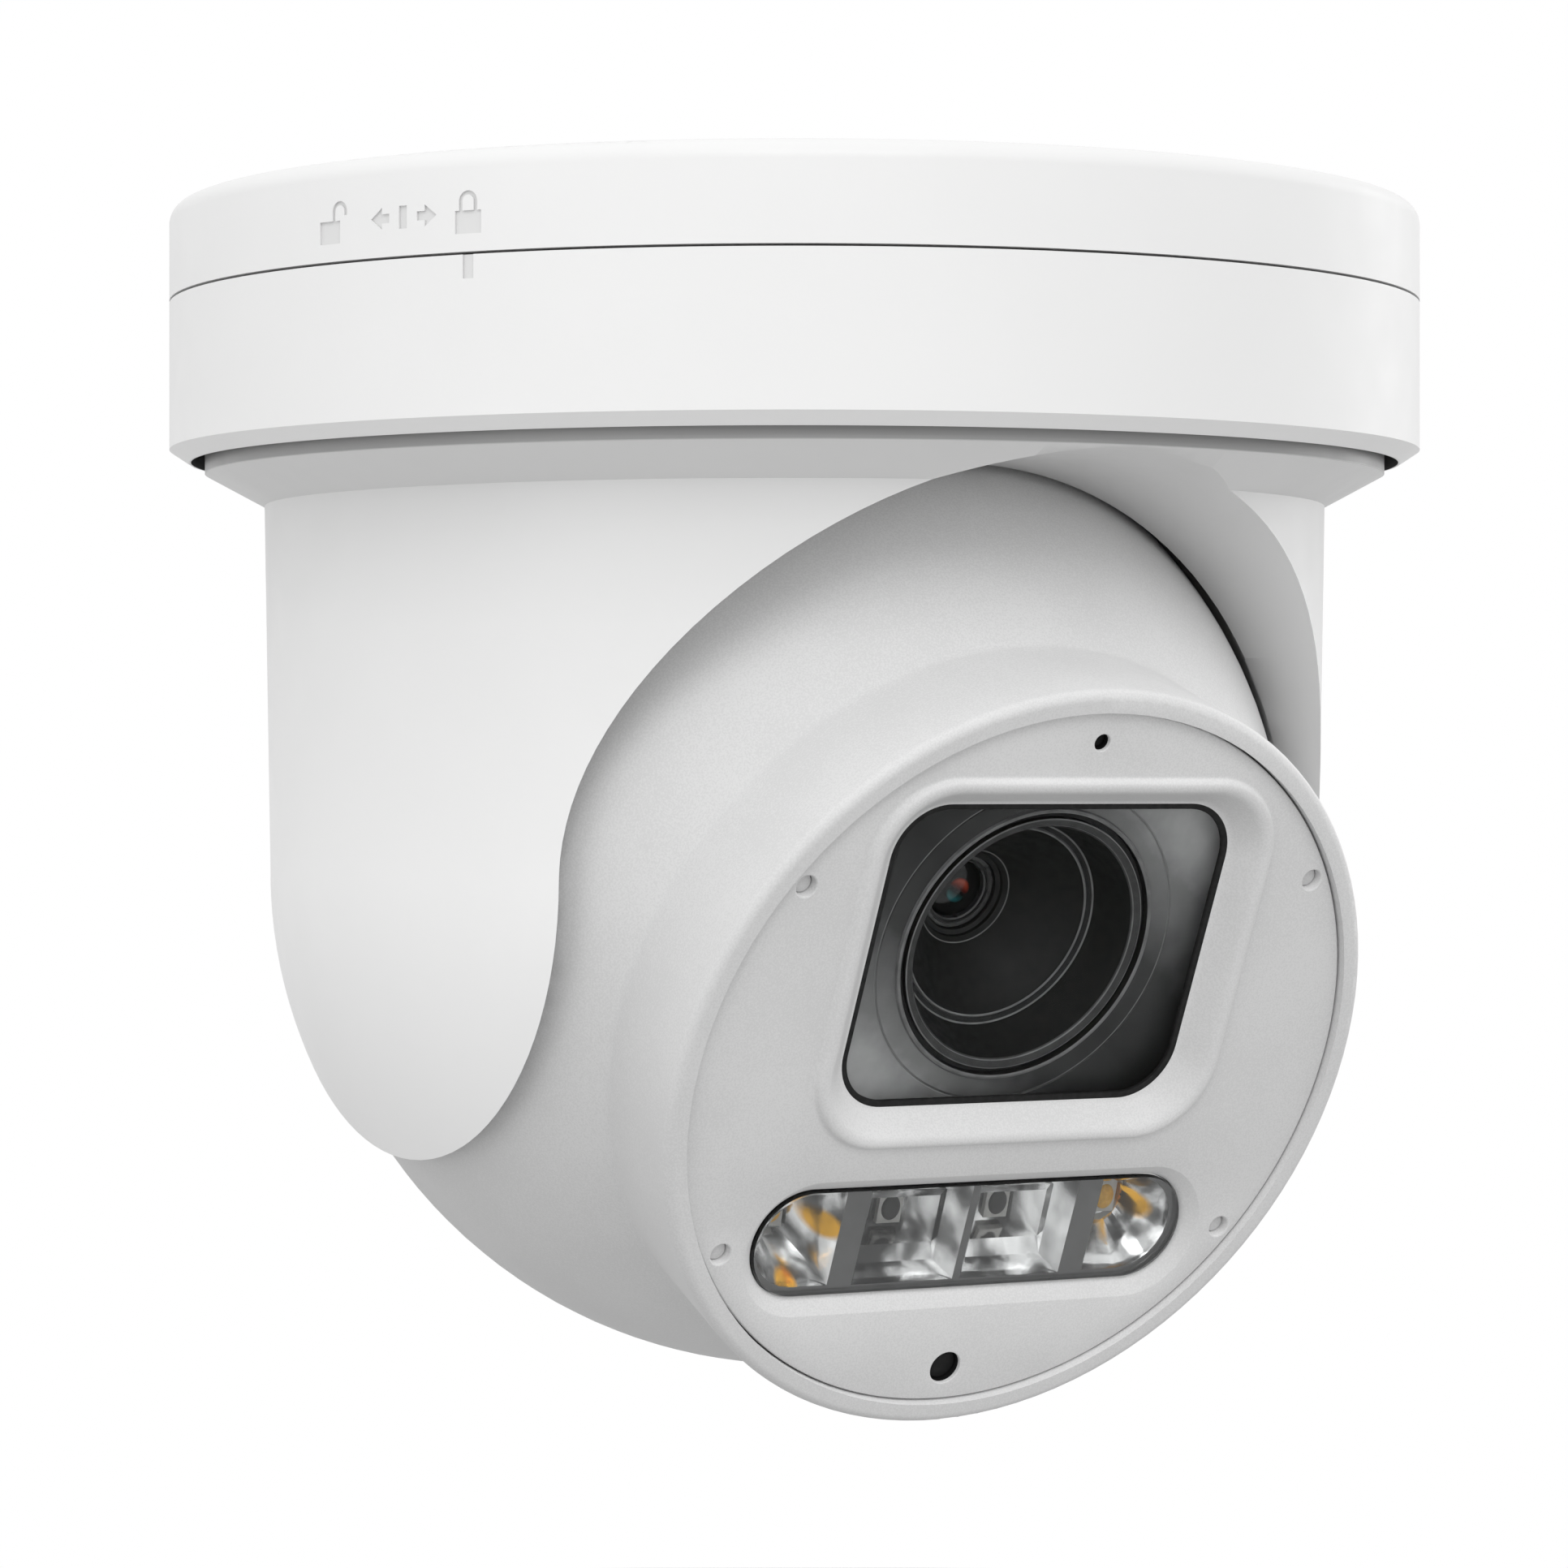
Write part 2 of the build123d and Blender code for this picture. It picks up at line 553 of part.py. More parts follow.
# ---- yoke ----
def yoke_outline(inset, top, drum_inset):
    """The yoke's outer profile about Z, shrunk by inset; heights are above the tilt axis."""
    slope = degrees(atan2(DRUM_EDGE - SHOULDER_EDGE, DRUM_RADIUS - SHOULDER_RADIUS))
    lift = inset / cos(radians(slope))
    drum = DRUM_RADIUS - drum_inset
    shoulder = SHOULDER_RADIUS - inset
    rise = (DRUM_EDGE - SHOULDER_EDGE) / (DRUM_RADIUS - SHOULDER_RADIUS)
    edge = SHOULDER_EDGE + lift - inset * rise
    line = Polyline(
        (0, -ARM_DEPTH + inset),
        (0, top),
        (drum, top),
        (drum, edge + (drum - shoulder) * rise),
        (shoulder, edge),
        (ARM_RADIUS - inset, 0),
    )
    arc = EllipticalCenterArc((0, 0), ARM_RADIUS - inset, ARM_DEPTH - inset, start_angle=270, arc_size=90)
    return revolve(Plane.XZ * make_face(line + arc), axis=Axis.Z)


def tunnel(grow):
    """The gap between the arms: an elliptical arch along Y with straight sides below it."""
    arch = Ellipse(TUNNEL_HALF_WIDTH + grow, TUNNEL_RISE + grow)
    sides = Pos(0, -45) * Rectangle(2 * (TUNNEL_HALF_WIDTH + grow), 90)
    return extrude(Plane.XZ * (arch + sides), amount=100, both=True)


def axle_screw_turns():
    return [Rot(60 + 120 * i, 0, 0) for i in range(3)]


def axle_screw_track():
    return (AXLE_FLANGE_RADIUS + AXLE_RADIUS) / 2


def yoke_housing():
    top = DRUM_TOP - TILT_Z
    outside = yoke_outline(0, top, 0)
    inside = yoke_outline(YOKE_WALL, top + 1, YOKE_WALL + LEDGE_WIDTH)
    pods = both_sides(tube_x(POD_RADIUS, 0, POD_FACE_X, BASE_RADIUS)) & outside
    body = outside - tunnel(0) - Sphere(CAVITY_RADIUS) + pods
    body -= both_sides(tube_x(POD_RADIUS - POD_WALL, 0, POD_FACE_X - 1, BASE_RADIUS)) & inside
    roof = PLATE_BOTTOM - TILT_Z
    space = inside & Pos(0, 0, 15 + 50) * Box(200, 200, 100)
    space = space - Sphere(CAVITY_RADIUS + CROWN_WALL) - tunnel(YOKE_WALL)
    body -= space - both_sides(tube_x(POD_RADIUS, 0, 0, BASE_RADIUS))
    body -= tube(DRUM_RADIUS - YOKE_WALL, plate_hole_radius(), roof, top + 1)
    seat = tube_x(AXLE_FLANGE_RADIUS + 1, 0, AXLE_FLANGE_X + AXLE_FLANGE_THICKNESS, BASE_RADIUS)
    body += both_sides(seat) & outside
    body -= both_sides(tube_x(AXLE_BORE_RADIUS, 0, POD_FACE_X, FLAT_X + 9.6))
    body -= both_sides(Pos(FLAT_X + 5.9, 0, POD_RADIUS - POD_WALL) * Cylinder(1.8, 10))
    for turn in axle_screw_turns():
        hole = Pos(0, axle_screw_track(), 0) * tube_x(0.6, 0, AXLE_FLANGE_X, FLAT_X + 9.6)
        body -= both_sides(turn * hole)
    for turn in turned(6, 30):
        body -= turn * Pos(plate_screw_track(), 0, roof) * Cylinder(0.7, 6)
    return Pos(0, 0, TILT_Z) * body


def plate_hole_radius():
    return CROWN_RADIUS + LOOSE_FIT


def plate_screw_track():
    return DRUM_RADIUS - YOKE_WALL - LEDGE_WIDTH / 2


def yoke_top_plate():
    plate = tube(DRUM_RADIUS - YOKE_WALL - LOOSE_FIT, plate_hole_radius(), PLATE_BOTTOM, DRUM_TOP)
    plate += tube(INNER_RACE_IN, INNER_RACE_IN - NECK_WALL, PLATE_BOTTOM, PAN_RACE_TOP)
    plate += tube(INNER_RACE_IN + 2, INNER_RACE_IN - 1, DRUM_TOP - 0.5, PAN_RACE_BOTTOM)
    plate -= at_pan_motor(tube(3.4, 0, PLATE_BOTTOM - 1, DRUM_TOP + 1))
    for spot in ear_spots(PAN_MOTOR_RADIUS):
        plate -= at_pan_motor(spot * Pos(0, 0, PLATE_BOTTOM) * Cylinder(0.65, 9))
    plate -= Pos(0, -STOP_TRACK, 0) * tube(STOP_PIN_RADIUS, 0, PLATE_BOTTOM - 1, DRUM_TOP + 1)
    for turn in turned(6, 30):
        plate -= turn * Pos(plate_screw_track(), 0, PLATE_BOTTOM) * Cylinder(0.7, 9)
    return plate


def yoke_screws():
    """Identical screws for the top plate, the pan motor and both tilt axles."""
    top = DRUM_TOP + 0.8
    screws = [turn * Pos(plate_screw_track(), 0, top) * small_screw(4.2) for turn in turned(6, 30)]
    axle = [Pos(0, 0, TILT_Z) * one for one in tilt_axle_screws().solids()]
    return Compound(screws + pan_motor_screws() + axle)


# ---- tilt axles, bearings and gear: built in the head's axes, about X ----
def about_x(shape, start):
    """Turns a shape made about Z, from height 0, to stand about X from a given place."""
    return Pos(start, 0, 0) * Rot(0, 90, 0) * shape


def tilt_axles():
    axle = tube_x(AXLE_RADIUS, 0, AXLE_END_X, AXLE_FLANGE_X)
    axle += tube_x(AXLE_FLANGE_RADIUS, 0, AXLE_FLANGE_X, AXLE_FLANGE_X + AXLE_FLANGE_THICKNESS)
    shoulder = TILT_BEARING_X + TILT_BEARING_WIDTH
    axle += tube_x(AXLE_RADIUS + 0.9, 0, shoulder, AXLE_FLANGE_X)
    axle -= tube_x(AXLE_BORE_RADIUS, 0, AXLE_END_X - 3, AXLE_FLANGE_X + 4)
    for turn in axle_screw_turns():
        axle -= turn * Pos(0, axle_screw_track(), 0) * tube_x(0.7, 0, AXLE_FLANGE_X - 1, AXLE_FLANGE_X + 4)
    return both_sides(axle)


def tilt_axle_screws():
    place = Pos(AXLE_FLANGE_X - 0.8, axle_screw_track(), 0) * Rot(0, -90, 0)
    return both_sides(Compound([turn * place * small_screw(4.0) for turn in axle_screw_turns()]))


def tilt_race(outer, inner):
    ring = race(outer, inner, TILT_BALL_TRACK, TILT_BALL_RADIUS, 0, TILT_BEARING_WIDTH)
    return both_sides(about_x(ring, TILT_BEARING_X))


def tilt_balls():
    middle = TILT_BEARING_WIDTH / 2
    ring = balls(TILT_BALL_TRACK, TILT_BALL_RADIUS, TILT_BALL_COUNT, middle)
    return both_sides(about_x(ring, TILT_BEARING_X))


def at_tilt_motor(shape):
    """Moves a shape made about Z to the tilt motor's axis, its +X side facing away from the tilt axis."""
    forward = radians(TILT_MOTOR_ANGLE)
    place = Pos(0, TILT_CENTRE * sin(forward), TILT_CENTRE * cos(forward))
    return place * Rot(-TILT_MOTOR_ANGLE, 0, 0) * Rot(0, 90, 0) * Rot(0, 0, 180) * shape


def tilt_ring_gear():
    wall = POD_RADIUS - POD_WALL - TILT_RING_PITCH - 1.1 * TILT_MODULE
    gear = ring_gear(TILT_RING_TEETH, TILT_MODULE, wall, TILT_GEAR_X, TILT_GEAR_X + TILT_GEAR_WIDTH)
    return Rot(-TILT_MOTOR_ANGLE, 0, 0) * Rot(0, 90, 0) * Rot(0, 0, 180) * gear


def tilt_pinion():
    gear = pinion(TILT_PINION_TEETH, TILT_MODULE, 0.4, TILT_GEAR_X, TILT_GEAR_X + TILT_GEAR_WIDTH - 0.1)
    shaft = tube(MOTOR_SHAFT_RADIUS, 0, FLAT_X - SHELL_WALL - 3, TILT_GEAR_X + TILT_GEAR_WIDTH - 0.1)
    return at_tilt_motor(gear + shaft)


def tilt_motor():
    return at_tilt_motor(motor(TILT_MOTOR_RADIUS, TILT_MOTOR_LENGTH, FLAT_X - SHELL_WALL))


def tilt_motor_screws():
    place = Pos(0, 0, FLAT_X - SHELL_WALL - 1.8) * Rot(180, 0, 0)
    return [at_tilt_motor(spot * place * small_screw(2.4)) for spot in ear_spots(TILT_MOTOR_RADIUS)]


# ---- head shells ----
def head_ball(radius, flat):
    return Sphere(radius) & Box(2 * flat, 300, 300)


def screw_posts(low, high, radius):
    spots = [(x, y) for x in (-1, 1) for y in (-1, 1)]
    return [Pos(SHELL_SCREW_AT * x, SHELL_SCREW_AT * y, 0) * tube(radius, 0, low, high) for x, y in spots]


def collar():
    start = sqrt(BALL_RADIUS**2 - COLLAR_BASE_RADIUS**2) - 3
    corners = [(0, start), (COLLAR_BASE_RADIUS, start), (COLLAR_RADIUS, COLLAR_FRONT), (0, COLLAR_FRONT)]
    line = Polyline(*corners, close=True)
    body = revolve(Plane.XZ * make_face(line), axis=Axis.Z)
    rim = body.edges().filter_by(GeomType.CIRCLE).group_by(Axis.Z)[-1].sort_by(SortBy.RADIUS)[-1]
    return fillet(rim, COLLAR_FILLET)


def front_shell():
    body = head_ball(BALL_RADIUS, FLAT_X) + collar()
    joint = body.edges().filter_by(GeomType.CIRCLE)
    joint = [e for e in joint if abs(e.radius - COLLAR_BASE_RADIUS) < 1.0 and e.center().Z < COLLAR_FRONT - 5]
    if joint:
        body = fillet(joint, 1.6)
    body -= head_ball(BALL_RADIUS - SHELL_WALL, FLAT_X - SHELL_WALL)
    body -= tube(FACE_LEDGE_RADIUS, 0, 20, 100)
    body -= tube(FACE_RADIUS + SEAM * 0.7, 0, FACE_BACK - 0.1, 100)
    body -= Pos(0, 0, SHELL_SEAM - 100) * Box(300, 300, 200)
    for post in screw_posts(SHELL_SEAM, 10, SHELL_POST_RADIUS):
        body += post & Sphere(BALL_RADIUS - 0.5)
    for hole in screw_posts(SHELL_SEAM - 1, 2, 1.0):
        body -= hole
    seat = TILT_BEARING_X + TILT_BEARING_WIDTH
    body += both_sides(tube_x(BEARING_BOSS_RADIUS, 0, TILT_BEARING_X - 1, FLAT_X))
    body -= both_sides(tube_x(TILT_RACE_OUT, 0, TILT_BEARING_X - 2, seat))
    body -= both_sides(tube_x(AXLE_RADIUS + 2.4, 0, seat - 1, FLAT_X + 1))
    body -= at_tilt_motor(tube(MOTOR_SHAFT_RADIUS + LOOSE_FIT, 0, FLAT_X - 10, FLAT_X + 1))
    for spot in ear_spots(TILT_MOTOR_RADIUS):
        body -= at_tilt_motor(spot * tube(0.65, 0, FLAT_X - 6, FLAT_X - 0.6))
    body -= stadium(LED_HALF_LENGTH + 1.3, LED_HALF_HEIGHT + 1.3, FACE_BACK - 12, FACE_BACK + 1)
    for x in (-1, 1):
        for y in (-1, 1):
            body -= Pos(FACE_SCREW_AT[0] * x, FACE_SCREW_AT[1] * y, FACE_BACK) * Cylinder(0.6, 8)
    body -= Pos(0, MIC_UP, 0) * tube(2.2, 0, FACE_BACK - 3.2, FACE_BACK + 1)
    body -= Pos(0, LIGHT_SENSOR_UP, 0) * tube(2.9, 0, FACE_BACK - 3.2, FACE_BACK + 1)
    return body - seam_frame(0.4, 1.2, SHELL_SEAM - 1, SHELL_SEAM + 0.6)


def seam_frame(inner, outer, low, high):
    """A closed frame in the shells' wall at the seam; inner and outer are distances from its inside."""
    radius = sqrt((BALL_RADIUS - SHELL_WALL) ** 2 - SHELL_SEAM**2)
    flat = FLAT_X - SHELL_WALL
    big = tube(radius + outer, 0, low, high) & Box(2 * (flat + outer), 300, 300)
    return big - (tube(radius + inner, 0, low - 1, high + 1) & Box(2 * (flat + inner), 300, 300))


def rear_shell():
    back = SHELL_SEAM - SEAM
    body = head_ball(BALL_RADIUS, FLAT_X) - head_ball(BALL_RADIUS - SHELL_WALL, FLAT_X - SHELL_WALL)
    body &= Pos(0, 0, back - 100) * Box(300, 300, 200)
    low = -sqrt(BALL_RADIUS**2 - 2 * SHELL_SCREW_AT**2)
    for post in screw_posts(low - 6, back, SHELL_POST_RADIUS):
        body += post & Sphere(BALL_RADIUS)
    for hole in screw_posts(-100, back + 1, 1.2):
        body -= hole
    for hole in screw_posts(-100, shell_screw_top() + SHELL_HEAD[1], SHELL_HEAD[0] + 0.2):
        body -= hole
    body += tube(SERVICE_RADIUS + 2.5, 0, SERVICE_BACK, SERVICE_BACK + 5) & Sphere(BALL_RADIUS)
    body -= tube(40, 0, -100, SERVICE_BACK)
    body -= tube(SERVICE_RADIUS + LOOSE_FIT, 0, SERVICE_BACK - 1, SERVICE_BACK + 2)
    body -= rounded((8.5, 6.0), 2.0, SERVICE_BACK, SERVICE_BACK + 20)
    for side in (-1, 1):
        body -= Pos(SERVICE_SCREW_X * side, 0, SERVICE_BACK) * Cylinder(0.65, 9)
        for up in (-1, 1):
            spot = Pos(HEAT_SINK_POST[0] * side, HEAT_SINK_POST[1] * up, 0)
            body += spot * tube(1.8, 0, -BALL_RADIUS, HEAT_SINK_BACK) & Sphere(BALL_RADIUS - 0.5)
            body += Pos(10 * side, 7.5 * up, 0) * tube(1.4, 0, SERVICE_BACK + 2.5, SERVICE_BOARD_Z)
    return body


def shell_seal():
    """A closed square-section seal between the two half shells, in the front shell's groove."""
    return seam_frame(0.45, 1.15, SHELL_SEAM - SEAM, SHELL_SEAM + 0.5)


def shell_screw_top():
    """The height at which a screw head's outer corner lies just under the ball's surface."""
    return 0.1 - sqrt(BALL_RADIUS**2 - (sqrt(2) * SHELL_SCREW_AT + SHELL_HEAD[0]) ** 2)


def shell_screws():
    spots = [(x, y) for x in (-1, 1) for y in (-1, 1)]
    place = Pos(0, 0, shell_screw_top()) * Rot(180, 0, 0)
    one = place * screw(*SHELL_HEAD, 0.95, 22.6)
    return Compound([Pos(SHELL_SCREW_AT * x, SHELL_SCREW_AT * y, 0) * one for x, y in spots])


def service_cover():
    cover = tube(SERVICE_RADIUS, 0, SERVICE_BACK, SERVICE_BACK + 1.9)
    for side in (-1, 1):
        cover -= Pos(SERVICE_SCREW_X * side, 0, SERVICE_BACK) * Cylinder(0.65, 9)
        cover -= Pos(SERVICE_SCREW_X * side, 0, SERVICE_BACK) * Cylinder(1.3, 2.0)
    return cover


def head_screws():
    """Identical screws for the service cover and the tilt motor."""
    place = Pos(0, 0, SERVICE_BACK + 0.2) * Rot(180, 0, 0)
    cover = [Pos(SERVICE_SCREW_X * side, 0, 0) * place * small_screw(2.4) for side in (-1, 1)]
    return Compound(cover + tilt_motor_screws())


# ---- face ----
def window_block(half, corner, low, high):
    return rounded(half, corner, low, high, LENS_UP)


def grown(half, by):
    return (half[0] + by, half[1] + by)


def face_plate():
    plate = tube(FACE_RADIUS, 0, FACE_BACK, FACE_FRONT)
    top = FACE_FRONT + BEZEL_RAISE
    frame = window_block(BEZEL_HALF, BEZEL_CORNER, FACE_FRONT - 1, top)
    frame = fillet(frame.edges().group_by(Axis.Z)[-1], BEZEL_RAISE * 0.9)
    plate += frame
    mouth = RectangleRounded(2 * (WINDOW_HALF[0] + 2.6), 2 * (WINDOW_HALF[1] + 2.3), WINDOW_CORNER + 2)
    plate -= extrude(Pos(0, LENS_UP, top + 0.01) * mouth, amount=-(top - FACE_BACK - 0.5), taper=38)
    plate -= window_block(WINDOW_HALF, WINDOW_CORNER, FACE_BACK - 1, top + 1)
    lamp_edge = SlotOverall(2 * (LED_HALF_LENGTH + LED_CHAMFER), 2 * (LED_HALF_HEIGHT + LED_CHAMFER))
    plate -= extrude(Pos(0, LED_UP, FACE_FRONT + 0.01) * lamp_edge, amount=-LED_CHAMFER, taper=44)
    plate -= stadium(LED_HALF_LENGTH, LED_HALF_HEIGHT, FACE_BACK - 1, FACE_FRONT + 1)
    for x in (-1, 1):
        for y in (-1, 1):
            spot = Pos(FACE_SCREW_AT[0] * x, FACE_SCREW_AT[1] * y, 0)
            plate -= spot * tube(FACE_SCREW_RECESS, 0, FACE_BACK + 0.7, FACE_FRONT + 1)
            plate -= spot * tube(0.7, 0, FACE_BACK - 1, FACE_FRONT)
    plate -= Pos(0, MIC_UP, 0) * tube(MIC_HOLE_RADIUS, 0, FACE_BACK - 1, FACE_FRONT + 1)
    return plate - Pos(0, LIGHT_SENSOR_UP, 0) * tube(LIGHT_SENSOR_RADIUS, 0, FACE_BACK - 1, FACE_FRONT + 1)


def face_plate_screws():
    one = Pos(0, 0, FACE_BACK + 1.3) * screw(FACE_SCREW_RECESS - 0.1, 0.6, 0.55, 3.8)
    spots = [(x, y) for x in (-1, 1) for y in (-1, 1)]
    return Compound([Pos(FACE_SCREW_AT[0] * x, FACE_SCREW_AT[1] * y, 0) * one for x, y in spots])


def glass_block(low, high):
    """The outline of the glass, which reaches behind the face plate all round the window."""
    return window_block(grown(WINDOW_HALF, GLASS_LAP), WINDOW_CORNER + GLASS_LAP, low, high)


def window_gasket():
    outer = glass_block(GLASS_FRONT, FACE_BACK)
    corner = WINDOW_CORNER - GASKET_SHOW
    inner = window_block(grown(WINDOW_HALF, -GASKET_SHOW), corner, GLASS_FRONT - 1, FACE_BACK + 1)
    return outer - inner


def window_glass():
    return glass_block(GLASS_BACK, GLASS_FRONT)


def lens_hood():
    """The dark panel behind the window, with a stepped funnel down to the front lens."""
    panel = glass_block(GLASS_BACK - HOOD_PLATE, GLASS_BACK)
    mouth, throat = HOOD_MOUTH_RADIUS, HOOD_THROAT_RADIUS
    step_radius = (mouth + throat) / 2 + 1.6
    step_z = GLASS_BACK - HOOD_DEPTH * 0.42
    outer = Polyline(
        (0, HOOD_THROAT_Z),
        (throat + 1.6, HOOD_THROAT_Z),
        (step_radius + 1.6, step_z - 1.2),
        (mouth + 1.8, GLASS_BACK - HOOD_PLATE),
        (mouth + 1.8, GLASS_BACK - 0.3),
        (0, GLASS_BACK - 0.3),
        close=True,
    )
    inner = Polyline(
        (0, HOOD_THROAT_Z - 1),
        (throat, HOOD_THROAT_Z - 1),
        (throat, HOOD_THROAT_Z + 0.6),
        (step_radius, step_z),
        (step_radius + 0.7, step_z),
        (step_radius + 0.7, step_z + 0.8),
        (mouth - 0.6, GLASS_BACK - 1.6),
        (mouth, GLASS_BACK + 1),
        (0, GLASS_BACK + 1),
        close=True,
    )
    body = panel - LENS * tube(mouth + 3.6, 0, GLASS_BACK - 0.5, GLASS_BACK + 1)
    body += LENS * revolve(Plane.XZ * make_face(outer), axis=Axis.Z)
    return body - LENS * revolve(Plane.XZ * make_face(inner), axis=Axis.Z)


# ---- lens, filter and sensor, about the lens axis ----
def dome_lens(radius, thickness, bulge, low):
    """A round glass with a domed front."""
    cap = (radius**2 + bulge**2) / (2 * bulge)
    glass = tube(radius, 0, low, low + thickness + bulge)
    return glass & Pos(0, 0, low + thickness + bulge - cap) * Sphere(cap)


def lens_barrel():
    inner = BARREL_RADIUS - BARREL_WALL
    body = tube(BARREL_RADIUS, inner, BARREL_BACK, BARREL_FRONT)
    body += tube(inner + 0.5, HOOD_THROAT_RADIUS - 0.8, BARREL_FRONT - 2.4, BARREL_FRONT)
    body += tube(inner + 0.5, 8.0, BARREL_BACK, BARREL_BACK + 1.2)
    body -= Pos(0, 0, BARREL_BACK + 2.2) * Box(60, 13.2, 1.6)
    for side in (-1, 1):
        body -= Pos(0, rod_track() * side, 0) * tube(rod_radius(), 0, BARREL_BACK - 1, BARREL_FRONT - 1)
    return LENS * body


def rod_radius():
    return 0.8


def rod_track():
    return BARREL_RADIUS - BARREL_WALL - 1.6


def guide_rods():
    low, high = BARREL_BACK, BARREL_FRONT - 1
    return LENS * Compound([Pos(0, rod_track() * s, 0) * tube(rod_radius(), 0, low, high) for s in (-1, 1)])


def lens_cell(low, height, glass_radius):
    """A sliding cell on the two guide rods; its glass is a part of its own."""
    cell = tube(BARREL_RADIUS - BARREL_WALL - 0.3, glass_radius, low, low + height)
    for side in (-1, 1):
        hole = tube(rod_radius() + SLIP_FIT, 0, low - 1, low + height + 1)
        cell -= Pos(0, rod_track() * side, 0) * hole
    return LENS * cell


ZOOM_LOW = BARREL_FRONT - 13.5
FOCUS_LOW = BARREL_BACK + 8.2


def zoom_cell():
    return lens_cell(ZOOM_LOW, 4.0, LENS_RADIUS)


def zoom_lens():
    return LENS * dome_lens(LENS_RADIUS, 1.6, 1.4, ZOOM_LOW + 0.6)


def focus_cell():
    return lens_cell(FOCUS_LOW, 3.0, LENS_RADIUS)


def focus_lens():
    return LENS * dome_lens(LENS_RADIUS, 1.2, 1.0, FOCUS_LOW + 0.4)


def front_lens():
    radius = HOOD_THROAT_RADIUS - 0.8
    return LENS * dome_lens(radius, 1.4, 0.9, BARREL_FRONT - 2.0)


def ir_cut_filter():
    """The filter slide behind the lens: clear and infrared-blocking panes side by side in one frame."""
    low = BARREL_BACK + 1.55
    frame = Pos(4.6, 0, low + 0.65) * Box(22, 12.6, 1.3)
    for x in (0, 9.2):
        frame -= Pos(x, 0, low + 1.3) * Box(8, 9, 1.3)
    return LENS * frame


def lens_motors():
    """The zoom and focus motors, strapped along the barrel's sides."""
    can = Pos(-BARREL_RADIUS - 4.2, 0, 0) * tube(4.0, 0, 12, 24)
    bridge = Pos(-BARREL_RADIUS - 1.2, 0, 18) * Box(3.4, 5, 6)
    one = (can + bridge) - tube(BARREL_RADIUS, 0, 0, 40)
    return LENS * both_sides(one)


def sensor_board():
    high = BARREL_BACK
    board = Pos(0, 0, high - 2.0 - BOARD_THICKNESS / 2) * Box(34, 34, BOARD_THICKNESS)
    mount = Pos(0, 0, high - 1.0) * (Box(31, 31, 2.0) - Box(17, 17, 2.0))
    return LENS * (board + mount)


def image_sensor():
    return LENS * Pos(0, 0, BARREL_BACK - 1.4) * Box(12, 9.5, 1.2)


def main_board():
    board = Pos(0, 0, MAIN_BOARD_Z) * Box(76, 60, BOARD_THICKNESS)
    back = MAIN_BOARD_Z - BOARD_THICKNESS / 2
    chips = [
        (-12, 8, 15, 15, 2.0),
        (10, 6, 14, 14, 1.6),
        (34, -12, 6, 12, 2.4),
        (-8, -14, 18, 9, 1.8),
        (12, -14, 8, 8, 1.4),
    ]
    for x, y, width, depth, height in chips:
        board += Pos(x, y, back - height / 2) * Box(width, depth, height)
    return board


def heat_sink():
    plate = Pos(0, 0, HEAT_SINK_BACK + 1) * Box(60, 50, 2)
    for i in range(11):
        plate += Pos(5.5 * (i - 5), 0, HEAT_SINK_BACK - 4) * Box(1.2, 46, 8)
    height = MAIN_BOARD_Z - BOARD_THICKNESS / 2 - HEAT_SINK_BACK - 1
    for x in (-1, 1):
        for y in (-1, 1):
            spot = Pos(HEAT_SINK_POST[0] * x, HEAT_SINK_POST[1] * y, HEAT_SINK_BACK + 1)
            plate += spot * tube(1.8, 0, 0, height)
    return plate


def service_board():
    """A small board behind the service cover with the card socket and the reset switch."""
    board = Pos(0, 0, SERVICE_BOARD_Z + BOARD_THICKNESS / 2) * Box(24, 18, BOARD_THICKNESS)
    socket = Pos(-2.0, 0, SERVICE_BOARD_Z - 0.9) * Box(11, 12, 2.0)
    switch = Pos(6.2, 0, SERVICE_BOARD_Z - 0.9) * Box(3.6, 3.6, 2.0)
    return board + socket + switch - Pos(6.2, 0, SERVICE_BOARD_Z - 1.2) * Cylinder(1.0 + SLIP_FIT, 2.0)


def reset_button():
    return Pos(6.2, 0, 0) * tube(1.0, 0, SERVICE_BOARD_Z - 4.2, SERVICE_BOARD_Z - 0.8)


# ---- lamps ----
def led_cover():
    top = FACE_FRONT - LED_COVER_RECESS - 0.6
    front = stadium(LED_HALF_LENGTH - LOOSE_FIT, LED_HALF_HEIGHT - LOOSE_FIT, FACE_BACK, top)
    return front + stadium(LED_HALF_LENGTH + 1.0, LED_HALF_HEIGHT + 1.0, FACE_BACK - 0.9, FACE_BACK)


def square_cell():
    """Centre and width of the two square reflector cells."""
    inner, outer = 0.6, LED_HALF_LENGTH - 15.2
    return (outer + inner) / 2, outer - inner


def end_cell_x():
    return LED_HALF_LENGTH - 6.8


def cell_faces():
    """The four reflector openings: two square ones in the middle, a round-ended one at each end."""
    half_height = LED_HALF_HEIGHT - 1.0
    centre, width = square_cell()
    squares = [Pos(x, LED_UP) * RectangleRounded(width, 2 * half_height, 0.8) for x in (-centre, centre)]
    end = Pos(0, LED_UP) * SlotOverall(2 * (LED_HALF_LENGTH - 1.2), 2 * half_height)
    ends = [end & Pos(s * (LED_HALF_LENGTH - 6.6), LED_UP) * Rectangle(10.8, 40) for s in (-1, 1)]
    return squares + ends


def reflector_top():
    return FACE_BACK - 0.9


